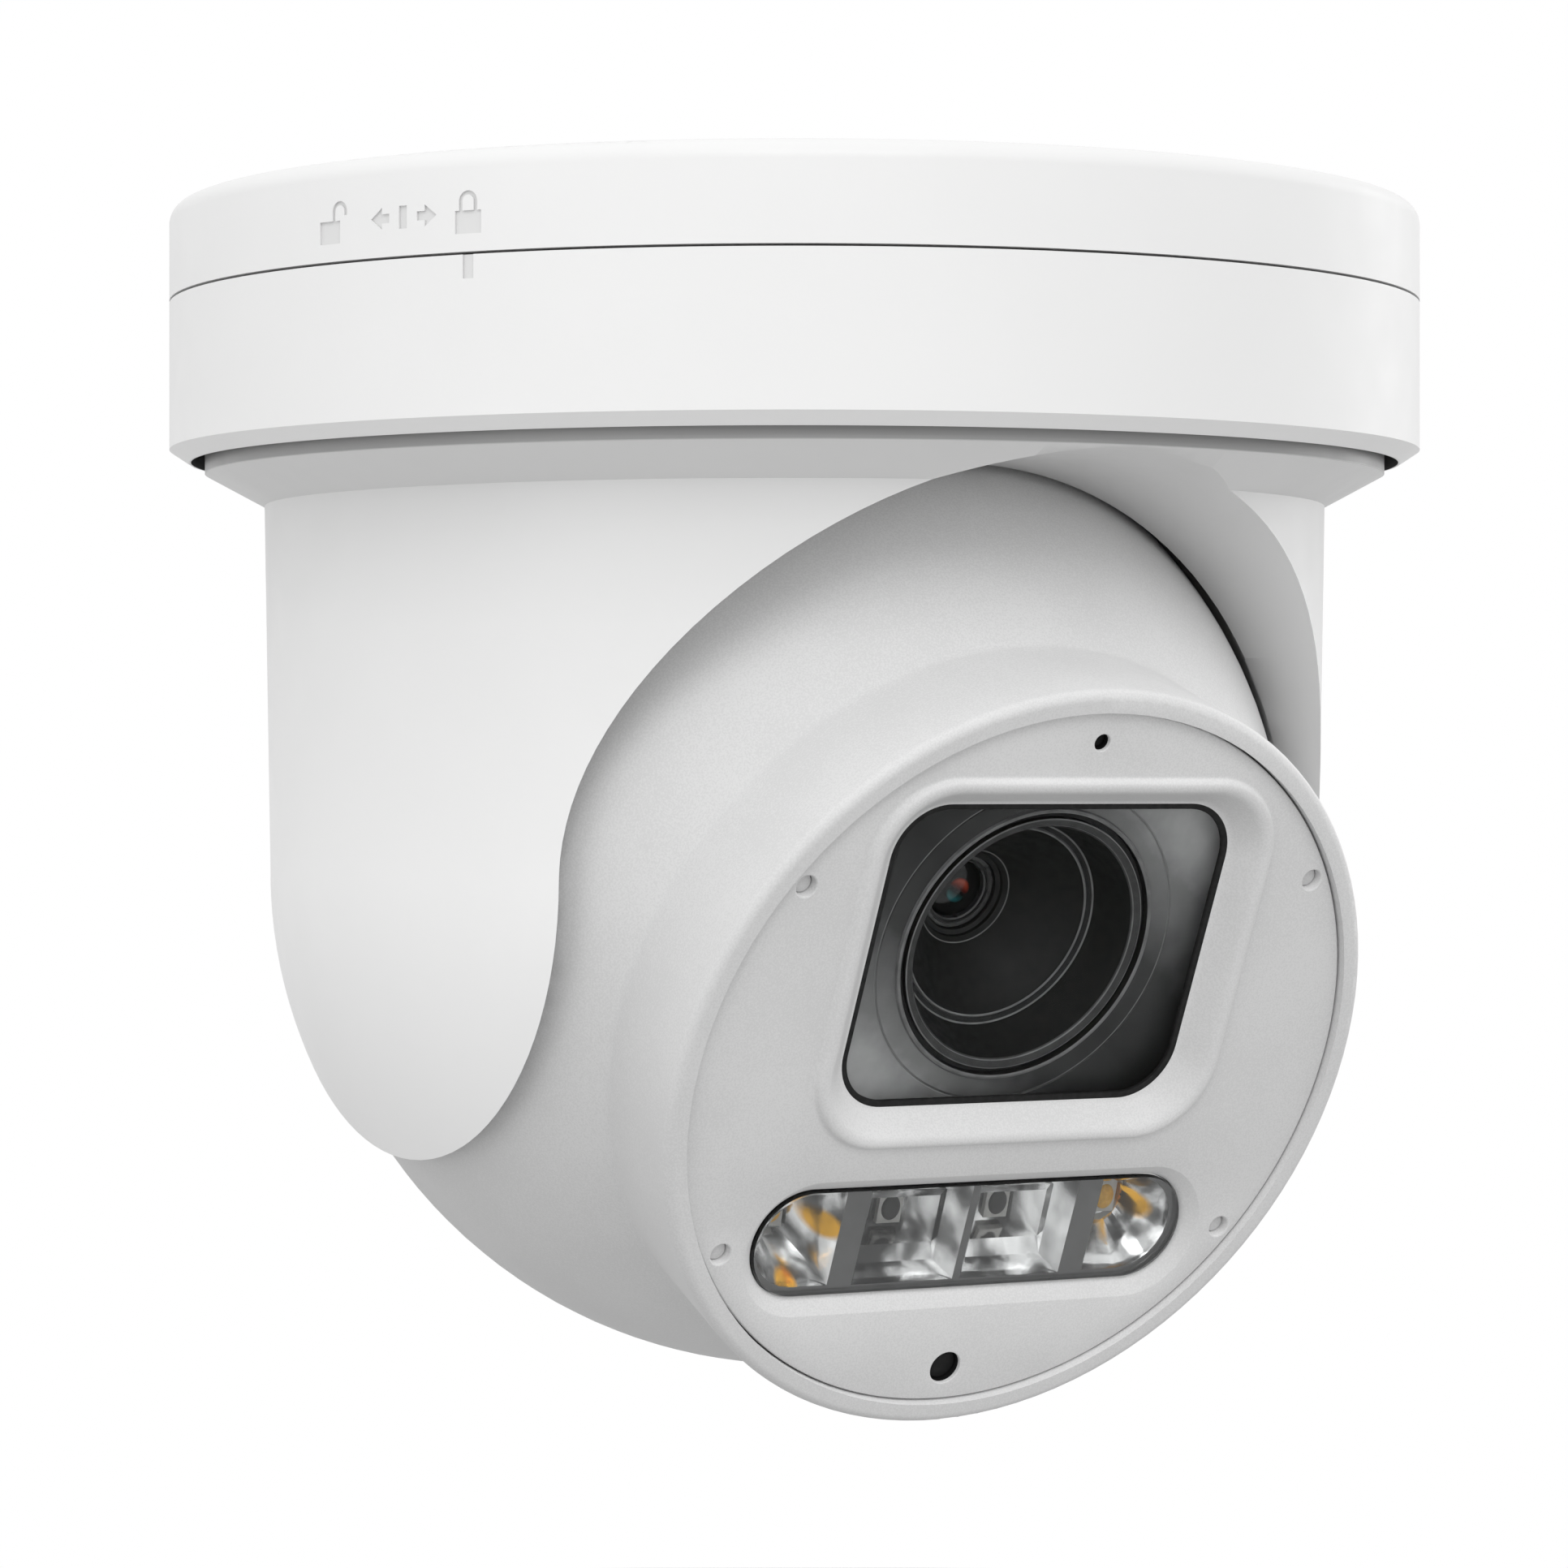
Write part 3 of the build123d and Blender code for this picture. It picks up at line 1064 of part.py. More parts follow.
def led_reflector():
    top = reflector_top()
    body = stadium(LED_HALF_LENGTH + 0.8, LED_HALF_HEIGHT + 0.8, top - REFLECTOR_DEPTH, top)
    for face in cell_faces():
        body -= extrude(Pos(0, 0, top + 0.01) * face, amount=-(REFLECTOR_DEPTH - 0.8), taper=34)
    for x in (square_cell()[0], end_cell_x()):
        for side in (-1, 1):
            body -= Pos(x * side, LED_UP, top - REFLECTOR_DEPTH) * Box(3.6, 3.6, 4)
    return body


def led_board():
    high = reflector_top() - REFLECTOR_DEPTH
    return stadium(LED_HALF_LENGTH - 0.5, LED_HALF_HEIGHT - 0.3, high - BOARD_THICKNESS, high)


def led_chips(spots, low):
    return Compound([Pos(x, LED_UP, low + 0.6) * Box(2.8, 2.8, 1.2) for x in spots])


def white_leds():
    return led_chips((-end_cell_x(), end_cell_x()), reflector_top() - REFLECTOR_DEPTH)


def infrared_leds():
    centre = square_cell()[0]
    return led_chips((-centre, centre), reflector_top() - REFLECTOR_DEPTH)


def microphone():
    capsule = tube(2.0, 0, FACE_BACK - 2.4, FACE_BACK)
    return Pos(0, MIC_UP, 0) * capsule


def light_sensor():
    body = tube(2.7, 0, FACE_BACK - 2.6, FACE_BACK)
    return Pos(0, LIGHT_SENSOR_UP, 0) * (body + dome_up())


def dome_up():
    return Pos(0, 0, FACE_BACK - 1.2) * (Sphere(1.8) & Pos(0, 0, 5) * Box(10, 10, 10))


ROW_NODES = {
    "ceiling_bracket": ceiling_bracket,
    "base_housing": base_housing,
    "base_cover": base_cover,
    "base_cover_screws": base_cover_screws,
    "cable_gland": cable_gland,
    "power_board": power_board,
    "pan_outer_race": pan_outer_race,
    "bearing_snap_ring": bearing_snap_ring,
    "pan_ring_gear": pan_ring_gear,
    "ring_gear_screws": ring_gear_screws,
    "pan_inner_race": pan_inner_race,
    "pan_bearing_balls": lambda: balls(
        PAN_BALL_TRACK, PAN_BALL_RADIUS, PAN_BALL_COUNT, PAN_RACE_BOTTOM + PAN_RACE_HEIGHT / 2
    ),
    "pan_retainer": pan_retainer,
    "pan_pinion": pan_pinion,
    "pan_motor": pan_motor,
    "pan_stop_pin": pan_stop_pin,
    "yoke_housing": yoke_housing,
    "yoke_top_plate": yoke_top_plate,
    "yoke_screws": yoke_screws,
}

# pieces on the tilt axis that stay with the yoke, and everything in the head
HEAD_NODES = {
    "tilt_ring_gear": tilt_ring_gear,
    "tilt_pinion": tilt_pinion,
    "tilt_motor": tilt_motor,
    "tilt_outer_races": lambda: tilt_race(TILT_RACE_OUT, TILT_BALL_TRACK + 0.4),
    "tilt_bearing_balls": tilt_balls,
    "front_shell": front_shell,
    "rear_shell": rear_shell,
    "shell_seal": shell_seal,
    "shell_screws": shell_screws,
    "service_cover": service_cover,
    "head_screws": head_screws,
    "service_board": service_board,
    "reset_button": reset_button,
    "face_plate": face_plate,
    "face_plate_screws": face_plate_screws,
    "window_gasket": window_gasket,
    "window_glass": window_glass,
    "lens_hood": lens_hood,
    "front_lens": front_lens,
    "lens_barrel": lens_barrel,
    "guide_rods": guide_rods,
    "zoom_cell": zoom_cell,
    "zoom_lens": zoom_lens,
    "focus_cell": focus_cell,
    "focus_lens": focus_lens,
    "ir_cut_filter": ir_cut_filter,
    "lens_motors": lens_motors,
    "sensor_board": sensor_board,
    "image_sensor": image_sensor,
    "main_board": main_board,
    "heat_sink": heat_sink,
    "led_cover": led_cover,
    "led_reflector": led_reflector,
    "led_board": led_board,
    "white_leds": white_leds,
    "infrared_leds": infrared_leds,
    "microphone": microphone,
    "light_sensor": light_sensor,
}

AXLE_NODES = {
    "tilt_axles": tilt_axles,
    "tilt_inner_races": lambda: tilt_race(TILT_BALL_TRACK - 0.4, AXLE_RADIUS),
}

os.makedirs("parts", exist_ok=True)
for node, make in ROW_NODES.items():
    write(node, make())
for node, make in AXLE_NODES.items():
    write(node, make(), Pos(0, 0, TILT_Z))
for node, make in HEAD_NODES.items():
    write(node, make(), HEAD)
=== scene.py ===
"""Looks of the ceiling dome camera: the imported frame, finished pieces for the face, and a plain pale studio."""

import json
from math import cos, pi, radians, sin

import bmesh
import bpy
import numpy as np
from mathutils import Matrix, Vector


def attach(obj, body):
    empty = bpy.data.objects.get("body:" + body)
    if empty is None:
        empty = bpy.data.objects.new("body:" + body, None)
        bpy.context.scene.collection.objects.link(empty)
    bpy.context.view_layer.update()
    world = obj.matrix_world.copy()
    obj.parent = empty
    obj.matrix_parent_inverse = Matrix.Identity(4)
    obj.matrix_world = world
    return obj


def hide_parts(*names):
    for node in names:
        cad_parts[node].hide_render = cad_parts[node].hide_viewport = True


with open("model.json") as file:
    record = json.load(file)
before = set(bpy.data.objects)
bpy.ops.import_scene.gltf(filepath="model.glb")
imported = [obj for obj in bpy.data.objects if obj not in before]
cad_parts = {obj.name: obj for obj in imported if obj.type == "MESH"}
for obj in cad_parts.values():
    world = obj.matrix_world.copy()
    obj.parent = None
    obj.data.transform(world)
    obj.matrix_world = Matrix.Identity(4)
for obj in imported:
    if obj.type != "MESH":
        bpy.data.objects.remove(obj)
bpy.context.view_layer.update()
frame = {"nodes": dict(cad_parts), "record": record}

NODES = frame["nodes"]

# ---- sizes, in millimetres; head pieces use the head's own axes: x right, y up, z forward ----
TILT_Z = -79.5
REST_TILT = radians(23.5)
FACE_RADIUS = 43.1
FACE_FRONT = 52.7
FACE_BACK = 50.5
FACE_SCREWS = [(x, y) for x in (-34.3, 34.3) for y in (-22.4, 22.4)]
PORTS = (  # new piece, the node it stands for, height, radius
    ("microphone_mesh", "microphone", 39.4, 1.0),
    ("light_sensor_window", "light_sensor", -39.0, 2.0),
)
LENS_UP = 12.6
WINDOW = (22.8, 18.5, 6.6)  # half width, half height, corner radius
BEZEL = (27.3, 22.5, 9.8)
BEZEL_RAISE = 0.9
GLASS_FRONT, GLASS_BACK = 50.0, 48.0
GLASS_LAP = 1.6
LED_UP = -22.5
LED = (29.4, 6.8)  # half width, half height
LED_CHAMFER = 1.7
SQUARE_CELL_X, END_LAMP_X = 7.4, 22.6
REFLECTOR_DEPTH = 6.0

HEAD_AXES = np.array(
    [[1, 0, 0], [0, -sin(REST_TILT), cos(REST_TILT)], [0, -cos(REST_TILT), -sin(REST_TILT)]]
)
DRUM_RADIUS = 70.8
SKIRT_INNER = 72.4
BASE_RADIUS = 75.0
DRUM_EDGE_Z = -31.9
MARK_DEPTH = 0.35
MARKS_TOP_Z, MARKS_BOTTOM_Z = -3.5, -26.0
DECK_Z = -16.5
FLOOR_Z = -0.62  # metres

POLE = 1e-4  # radius that a profile's centre gets, before its points merge
MERGE = 2e-6  # metres


def head_to_row(points):
    """Head millimetres to row metres: x right + y up + z forward from the tilt axis, divided by a thousand."""
    return (points @ HEAD_AXES + np.array([0, 0, TILT_Z])) / 1000


# ---- outlines: closed rows of points at one height ----
def circle(radius, z, centre=(0.0, 0.0), count=96):
    """x = r cos a, y = r sin a round a centre, at height z."""
    a = np.arange(count) * 2 * pi / count
    return np.stack([centre[0] + radius * np.cos(a), centre[1] + radius * np.sin(a), np.full(count, z)], 1)


def rounded(half_x, half_y, corner, z, up, arc=18, centre_x=0.0):
    """Four quarter circles, corner centre + r (cos a, sin a) for one quarter turn each, joined by straight sides."""
    quarter = np.repeat(np.arange(4), arc)
    a = quarter * pi / 2 + np.tile(np.linspace(0, pi / 2, arc), 4)
    side_x = np.array([1, -1, -1, 1])[quarter]
    side_y = np.array([1, 1, -1, -1])[quarter]
    x = centre_x + side_x * (half_x - corner) + corner * np.cos(a)
    y = up + side_y * (half_y - corner) + corner * np.sin(a)
    return np.stack([x, y, np.full(len(a), z)], 1)


def stadium(grow, z):
    """The lamp window's round-ended outline, grown by a set amount on all sides."""
    return rounded(LED[0] + grow, LED[1] + grow, LED[1] + grow - 0.001, z, LED_UP, 28)


def window_outline(grow, z):
    """The lens window's outline, grown by a set amount on all sides."""
    return rounded(WINDOW[0] + grow, WINDOW[1] + grow, WINDOW[2] + grow, z, LENS_UP)


def bezel_outline(share, z):
    """The rounded outline whose sizes are (1 - share) of the window's plus share of the raised frame's."""
    half_x, half_y, corner = ((1 - share) * a + share * b for a, b in zip(WINDOW, BEZEL))
    return rounded(half_x, half_y, corner, z, LENS_UP)


# ---- surfaces: each returns (points, faces) ----
def loft(outlines, ring=False):
    """Quads between points j and j + 1 of outlines i and i + 1; ring joins the last outline to the first."""
    rows, count = len(outlines), len(outlines[0])
    index = np.arange(rows * count).reshape(rows, count)
    here, there = (index, np.roll(index, -1, 0)) if ring else (index[:-1], index[1:])
    quads = np.stack([here, np.roll(here, -1, 1), np.roll(there, -1, 1), there], -1)
    return np.concatenate(outlines), quads.reshape(-1, 4).tolist()


def flat(outer, holes=()):
    """A flat face inside one outline and outside the others, filled with triangles."""
    fill = bmesh.new()
    for outline in [outer, *holes]:
        verts = [fill.verts.new(p) for p in outline]
        for a, b in zip(verts, verts[1:] + verts[:1]):
            fill.edges.new((a, b))
    bmesh.ops.triangle_fill(fill, use_beauty=True, edges=fill.edges[:], normal=(0, 0, 1))
    fill.verts.index_update()
    points = np.array([v.co for v in fill.verts])
    faces = [[v.index for v in f.verts] for f in fill.faces]
    fill.free()
    return points, faces


def lathe(profile, centre=(0.0, 0.0), count=96, ring=False):
    """A profile of (radius, height) pairs turned about a line along z: x = r cos a, y = r sin a, z = height."""
    return loft([circle(max(r, POLE), z, centre, count) for r, z in profile], ring)


def dome(radius, rim_z, rise, count):
    """A quarter ellipse from rim to crown: r = radius cos a, z = rim height + rise sin a."""
    a = np.linspace(0, pi / 2, count)
    return list(zip(radius * np.cos(a), rim_z + rise * np.sin(a)))


def piece(name, body, finishes, surfaces, stands_for=(), crease=32):
    """Joins surfaces into one closed mesh in the row frame; each surface is (points, faces, finish index)."""
    points, faces, marks, start = [], [], [], 0
    for surface in surfaces:
        shape, finish = surface[:2], surface[2] if len(surface) > 2 else 0
        points.append(shape[0])
        faces += [[i + start for i in face] for face in shape[1]]
        marks += [finish] * len(shape[1])
        start += len(shape[0])
    mesh = bpy.data.meshes.new(name)
    mesh.from_pydata(head_to_row(np.concatenate(points)), [], faces)
    for finish in finishes:
        mesh.materials.append(finish)
    mesh.polygons.foreach_set("material_index", marks)
    work = bmesh.new()
    work.from_mesh(mesh)
    bmesh.ops.remove_doubles(work, verts=work.verts, dist=MERGE)
    bmesh.ops.recalc_face_normals(work, faces=work.faces)
    work.to_mesh(mesh)
    work.free()
    mesh.polygons.foreach_set("use_smooth", [True] * len(mesh.polygons))
    mesh.set_sharp_from_angle(angle=radians(crease))
    made = bpy.data.objects.new(name, mesh)
    bpy.context.scene.collection.objects.link(made)
    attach(made, body)
    if stands_for:
        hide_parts(*stands_for)
    return made


# ---- finishes ----
class Finish:
    """A Principled material whose colour, roughness and bump come from patterns in Object coordinates."""

    def __init__(self, name, rough, metal=0.0, **sockets):
        self.material = bpy.data.materials.new(name)
        self.material.use_nodes = True
        self.tree = self.material.node_tree
        self.shader = self.tree.nodes["Principled BSDF"]
        self.shader.inputs["Roughness"].default_value = rough
        self.shader.inputs["Metallic"].default_value = metal
        for socket, value in sockets.items():
            self.shader.inputs[socket.replace("_", " ")].default_value = value
        self.place = self.add("ShaderNodeTexCoord").outputs["Object"]
        self.height = None

    def add(self, kind, **inputs):
        """A node of one kind with its inputs fed; _0 and _1 are inputs by number."""
        node = self.tree.nodes.new(kind)
        for socket, value in inputs.items():
            index = int(socket[1:]) if socket[0] == "_" else socket.replace("_", " ")
            self.feed(node.inputs[index], value)
        return node

    def feed(self, socket, value):
        """Links an output to a socket, or sets its plain value."""
        if isinstance(value, bpy.types.NodeSocket):
            self.tree.links.new(value, socket)
        else:
            socket.default_value = value

    def turn(self, rotation=(0, 0, 0), scale=(1, 1, 1), location=(0, 0, 0)):
        """Turns, stretches and moves the pattern's place."""
        node = self.add("ShaderNodeMapping", Vector=self.place, Rotation=rotation, Scale=scale, Location=location)
        return node.outputs["Vector"]

    def blend(self, factor, one, other, kind="MIX"):
        """Mixes two colours."""
        mix = self.add("ShaderNodeMix")
        mix.data_type = "RGBA"
        mix.blend_type = kind
        for socket, value in zip((0, 6, 7), (factor, one, other)):
            self.feed(mix.inputs[socket], value)
        return mix.outputs[2]

    def times(self, one, other):
        """One colour times another."""
        return self.blend(1.0, one, other, "MULTIPLY")

    def head_place(self):
        """The head's own axes: x right, y backwards, z up, from the tilt axis, in metres."""
        drop = -TILT_Z / 1000
        return self.turn((-REST_TILT, 0, 0), location=(0, drop * sin(REST_TILT), drop * cos(REST_TILT)))

    def from_axis(self, place=None, centre=(0.0, 0.0, 0.0), flatten=(1, 1, 0)):
        """Distance in metres from a line through a centre; flatten is 0 along the line."""
        shift = self.add("ShaderNodeVectorMath", _0=place or self.place, _1=tuple(-c for c in centre))
        squash = self.add("ShaderNodeVectorMath", _0=shift.outputs["Vector"], _1=flatten)
        squash.operation = "MULTIPLY"
        length = self.add("ShaderNodeVectorMath", _0=squash.outputs["Vector"])
        length.operation = "LENGTH"
        return length.outputs["Value"]

    def noise(self, size, detail=2.0, place=None):
        """Noise with features of a set size in metres."""
        node = self.add("ShaderNodeTexNoise", Vector=place or self.place, Scale=1 / size, Detail=detail)
        return node.outputs["Fac"]

    def cells(self, size, feature="F1", place=None):
        """Distance to the nearest of scattered points a set size apart."""
        node = self.add("ShaderNodeTexVoronoi", Vector=place or self.place, Scale=1 / size)
        node.feature = feature
        return node.outputs["Distance"]

    def spread(self, value, low, high, start=0.3, end=0.7):
        """Stretches a value so that start becomes low and end becomes high."""
        node = self.add("ShaderNodeMapRange", Value=value, From_Min=start, From_Max=end, To_Min=low, To_Max=high)
        return node.outputs["Result"]

    def sum(self, one, other, operation="ADD"):
        """Adds two numbers, or joins them by another operation."""
        node = self.tree.nodes.new("ShaderNodeMath")
        node.operation = operation
        self.feed(node.inputs[0], one)
        self.feed(node.inputs[1], other)
        return node.outputs[0]

    def tones(self, value, *stops):
        """A colour ramp: stops are (place, colour)."""
        node = self.add("ShaderNodeValToRGB", Fac=value)
        ramp = node.color_ramp
        while len(ramp.elements) < len(stops):
            ramp.elements.new(1.0)
        for element, (at, colour) in zip(ramp.elements, stops):
            element.position = at
            element.color = (*colour, 1.0) if len(colour) == 3 else colour
        return node.outputs["Color"]

    def height_in_row(self):
        """Height in metres below the ceiling, as a negative number."""
        return self.add("ShaderNodeSeparateXYZ", Vector=self.place).outputs["Z"]

    def colour(self, value, *stops):
        """The base colour follows a value through a ramp."""
        self.feed(self.shader.inputs["Base Color"], self.tones(value, *stops))
        return self

    def rough(self, value, low, high, start=0.3, end=0.7):
        """The roughness runs from low to high as a value runs from start to end."""
        self.feed(self.shader.inputs["Roughness"], self.spread(value, low, high, start, end))
        return self

    def bump(self, value, depth, strength=1.0):
        """Raises the surface by a value times a depth in metres, on top of earlier bumps."""
        node = self.add("ShaderNodeBump", Height=value, Distance=depth, Strength=strength)
        if self.height is not None:
            self.tree.links.new(self.height, node.inputs["Normal"])
        self.height = node.outputs["Normal"]
        self.tree.links.new(self.height, self.shader.inputs["Normal"])
        return self


def grey(level):
    """A neutral colour."""
    return (level,) * 3


def shades(level, spread, tint=(1.0, 1.0, 1.0)):
    """Two stops: the tint times level times 1 - spread, and times 1 + spread."""
    return tuple((at, tuple(level * part * t for t in tint)) for at, part in ((0.3, 1 - spread), (0.7, 1 + spread)))


def moulded_white(name="moulded_white", painted_shade=None):
    """Satin white plastic with a very fine spark-eroded grain and faint flow marks; a given painted shade darkens it
    inside its joints and recesses.
    """
    f = Finish(name, 0.42, Specular_IOR_Level=0.4, Coat_Weight=0.06, Coat_Roughness=0.25)
    flow = f.noise(0.018, 3.0)
    f.colour(flow, *shades(0.81, 0.006, (1.0, 1.0, 0.998)))
    # painted shade: the plain white times the given shade pattern
    if painted_shade:
        unshaded = f.shader.inputs["Base Color"].links[0].from_socket
        f.feed(f.shader.inputs["Base Color"], f.times(unshaded, painted_shade(f)))
    f.rough(f.noise(0.006, 4.0), 0.38, 0.5)
    f.bump(f.noise(0.00032, 2.0), 0.000012, 0.35)
    return f.bump(f.noise(0.004, 1.0), 0.00002, 0.12).material


def mark_shade(f):
    """Painted shade: a soft grey on the walls and floors of the engraved marks."""
    reach = f.from_axis()
    depth = f.spread(reach, 1.0, 0.0, (BASE_RADIUS - MARK_DEPTH / 2) / 1000, (BASE_RADIUS - 0.02) / 1000)
    rim = f.spread(reach, 0.0, 1.0, (BASE_RADIUS - 2 * MARK_DEPTH) / 1000, (BASE_RADIUS - 1.5 * MARK_DEPTH) / 1000)
    height = f.height_in_row()
    below_top = f.spread(height, 1.0, 0.0, (MARKS_TOP_Z - 0.5) / 1000, MARKS_TOP_Z / 1000)
    above_bottom = f.spread(height, 0.0, 1.0, MARKS_BOTTOM_Z / 1000, (MARKS_BOTTOM_Z + 0.5) / 1000)
    band = f.sum(f.sum(depth, rim, "MULTIPLY"), f.sum(below_top, above_bottom, "MULTIPLY"), "MULTIPLY")
    return f.tones(band, (0.0, grey(1.0)), (1.0, grey(0.88)))


def base_shade(f):
    """The marks' painted shade, and black painted shadow on the skirt's bore below the deck."""
    bore = f.spread(f.from_axis(), 1.0, 0.0, (SKIRT_INNER + 0.02) / 1000, (SKIRT_INNER + 0.1) / 1000)
    under_deck = f.spread(f.height_in_row(), 1.0, 0.0, (DECK_Z - 0.5) / 1000, DECK_Z / 1000)
    dark = f.tones(f.sum(bore, under_deck, "MULTIPLY"), (0.0, grey(1.0)), (1.0, grey(0.01)))
    return f.times(dark, mark_shade(f))


def yoke_shade(f):
    """Painted shade: a darker grey on the drum's side, in the gap under the skirt, and a faint one on the arms
    towards the base.
    """
    side = f.spread(f.from_axis(), 0.0, 1.0, (DRUM_RADIUS - 0.25) / 1000, (DRUM_RADIUS - 0.1) / 1000)
    height = f.height_in_row()
    above = f.spread(height, 0.0, 1.0, DRUM_EDGE_Z / 1000 - 0.0001, DRUM_EDGE_Z / 1000 + 0.0001)
    band = f.tones(f.sum(side, above, "MULTIPLY"), (0.0, grey(1.0)), (1.0, grey(0.52)))
    climb = f.spread(height, 0.0, 1.0, -0.078, -0.034)
    return f.times(band, f.tones(climb, (0.0, grey(1.0)), (0.6, grey(0.95)), (1.0, grey(0.83))))


# painted light: surfaces facing this direction are painted palest, those facing away darkest
PAINTED_LIGHT_SIDE = (0.38, 0.0, 0.925)  # the direction, right and up, whose surfaces are palest


def textured_grey(name, level, lightest, darkest):
    """Matt grey paint with a close sandy texture, with painted light and shade: paler on surfaces that face up,
    darker on those that face down.
    """
    f = Finish(name, 0.55, Specular_IOR_Level=0.35)
    speck = f.noise(0.00022, 1.0)
    grain = f.sum(f.spread(speck, 0, 0.7), f.spread(f.noise(0.012, 3.0), 0, 0.3))
    # painted light and shade by which way the surface faces
    facing = f.add("ShaderNodeVectorMath", _0=f.add("ShaderNodeTexCoord").outputs["Normal"], _1=PAINTED_LIGHT_SIDE)
    facing.operation = "DOT_PRODUCT"
    shade = f.tones(f.spread(facing.outputs["Value"], 0.0, 1.0, -1.0, 1.0), (0.0, grey(level * darkest)),
                    (0.5, grey(level)), (1.0, grey(level * lightest)))
    f.feed(f.shader.inputs["Base Color"], f.times(shade, f.tones(grain, *shades(0.96, 0.04))))
    f.rough(speck, 0.46, 0.66)
    f.bump(f.noise(0.00030, 3.0), 0.00003, 0.45)
    return f.bump(f.cells(0.0006), 0.00001, 0.2).material


def smoked_panel():
    """The dark panel behind the pane, with a painted reflection that makes it paler towards its lower left and upper
    right corners.
    """
    f = Finish("smoked_panel", 0.5, Specular_IOR_Level=0.25)
    split = f.add("ShaderNodeSeparateXYZ", Vector=f.head_place())
    across = f.sum(split.outputs["X"], WINDOW[0] / 1000, "DIVIDE")
    up = f.sum(f.sum(split.outputs["Z"], LENS_UP / 1000, "SUBTRACT"), WINDOW[1] / 1000, "DIVIDE")
    to_corner = f.sum(f.sum(across, up), 0.0, "ABSOLUTE")
    mottle = f.spread(f.noise(0.003, 3.0), -0.03, 0.03)
    f.colour(f.sum(f.spread(to_corner, 0.0, 1.0, 0.0, 1.8), mottle), (0.0, grey(0.025)), (0.35, grey(0.05)),
             (0.7, grey(0.22)), (1.0, grey(0.60)))
    f.rough(f.noise(0.001, 2.0), 0.42, 0.6)
    return f.bump(f.noise(0.0004, 1.0), 0.000006, 0.1).material


def black_plastic(name="black_plastic", level=0.012, rough=0.45):
    """Black moulded plastic with a fine matt texture."""
    f = Finish(name, rough, Specular_IOR_Level=0.4)
    f.colour(f.noise(0.002, 3.0), *shades(level, 0.2))
    f.rough(f.noise(0.0012, 3.0), rough - 0.07, rough + 0.1)
    return f.bump(f.noise(0.0004, 2.0), 0.000015, 0.3).material


def rubber():
    """Black rubber with a dull, slightly uneven skin."""
    f = Finish("rubber", 0.7, Specular_IOR_Level=0.3)
    f.colour(f.noise(0.0015, 3.0), *shades(0.008, 0.3))
    f.rough(f.noise(0.0008, 3.0), 0.6, 0.85)
    return f.bump(f.noise(0.0005, 3.0), 0.00003, 0.4).material


def turned_metal(name, colour, rough, stretch=(1, 1, 30)):
    """Machined metal: fine lines across one direction, with small stains in its gloss."""
    f = Finish(name, rough, 1.0)
    lines = f.noise(0.0009, 4.0, f.turn(scale=stretch))
    low, high = tuple(c * 0.86 for c in colour), tuple(min(1.0, c * 1.08) for c in colour)
    f.colour(f.sum(f.spread(lines, 0, 0.6), f.spread(f.noise(0.003, 3.0), 0, 0.4)), (0.2, low), (0.8, high))
    f.rough(f.noise(0.0015, 4.0), rough * 0.75, rough * 1.3)
    return f.bump(lines, 0.00001, 0.25).material


def acetal():
    """Natural white gear plastic, slightly see-through to light."""
    f = Finish("acetal", 0.4, Subsurface_Weight=0.15, Subsurface_Scale=0.001)
    f.colour(f.noise(0.005, 3.0), *shades(0.8, 0.02, (1.0, 0.98, 0.91)))
    f.rough(f.noise(0.002, 3.0), 0.32, 0.5)
    return f.bump(f.noise(0.0006, 2.0), 0.00001, 0.2).material


def solder_resist():
    """Green board lacquer with raised copper tracks under it and a scatter of pale vias."""
    f = Finish("solder_resist", 0.3, Coat_Weight=0.3, Coat_Roughness=0.15)
    weave = f.add("ShaderNodeTexBrick", Vector=f.turn((0.4, 0.0, 0.0)), Scale=180.0, Mortar_Size=0.035)
    tracks = weave.outputs["Fac"]
    vias = f.cells(0.0035)
    f.colour(f.sum(f.spread(tracks, 0, 0.5, 0, 1), f.spread(vias, 0.5, 0.0, 0.05, 0.12)),
             (0.0, (0.004, 0.06, 0.022)), (0.5, (0.01, 0.16, 0.06)), (1.0, (0.6, 0.55, 0.35)))
    f.rough(f.noise(0.002, 3.0), 0.24, 0.4)
    return f.bump(tracks, 0.00003, 0.5).material


def clear_glass(name="window_glass", bending=1.49, tint=(0.96, 0.97, 0.97)):
    """Clear glass, with the faint waviness of a moulded pane in its reflections."""
    f = Finish(name, 0.0, Transmission_Weight=1.0, IOR=bending)
    f.colour(f.noise(0.02, 2.0), (0.3, tint), (0.7, tuple(min(1.0, c * 1.015) for c in tint)))
    return f.bump(f.noise(0.012, 1.0), 0.00001, 0.05).material


# the colour of the lamps' painted reflection in the plated cells
AMBER = (0.80, 0.42, 0.03, 1.0)
# where the end cells show a painted amber reflection of the lamps: right and up from the tilt axis
AMBER_REFLECTION_SPOTS = ((-23.0, -22.3), (-18.8, -21.6), (-23.0, -28.1), (25.3, -22.1), (29.2, -27.6))


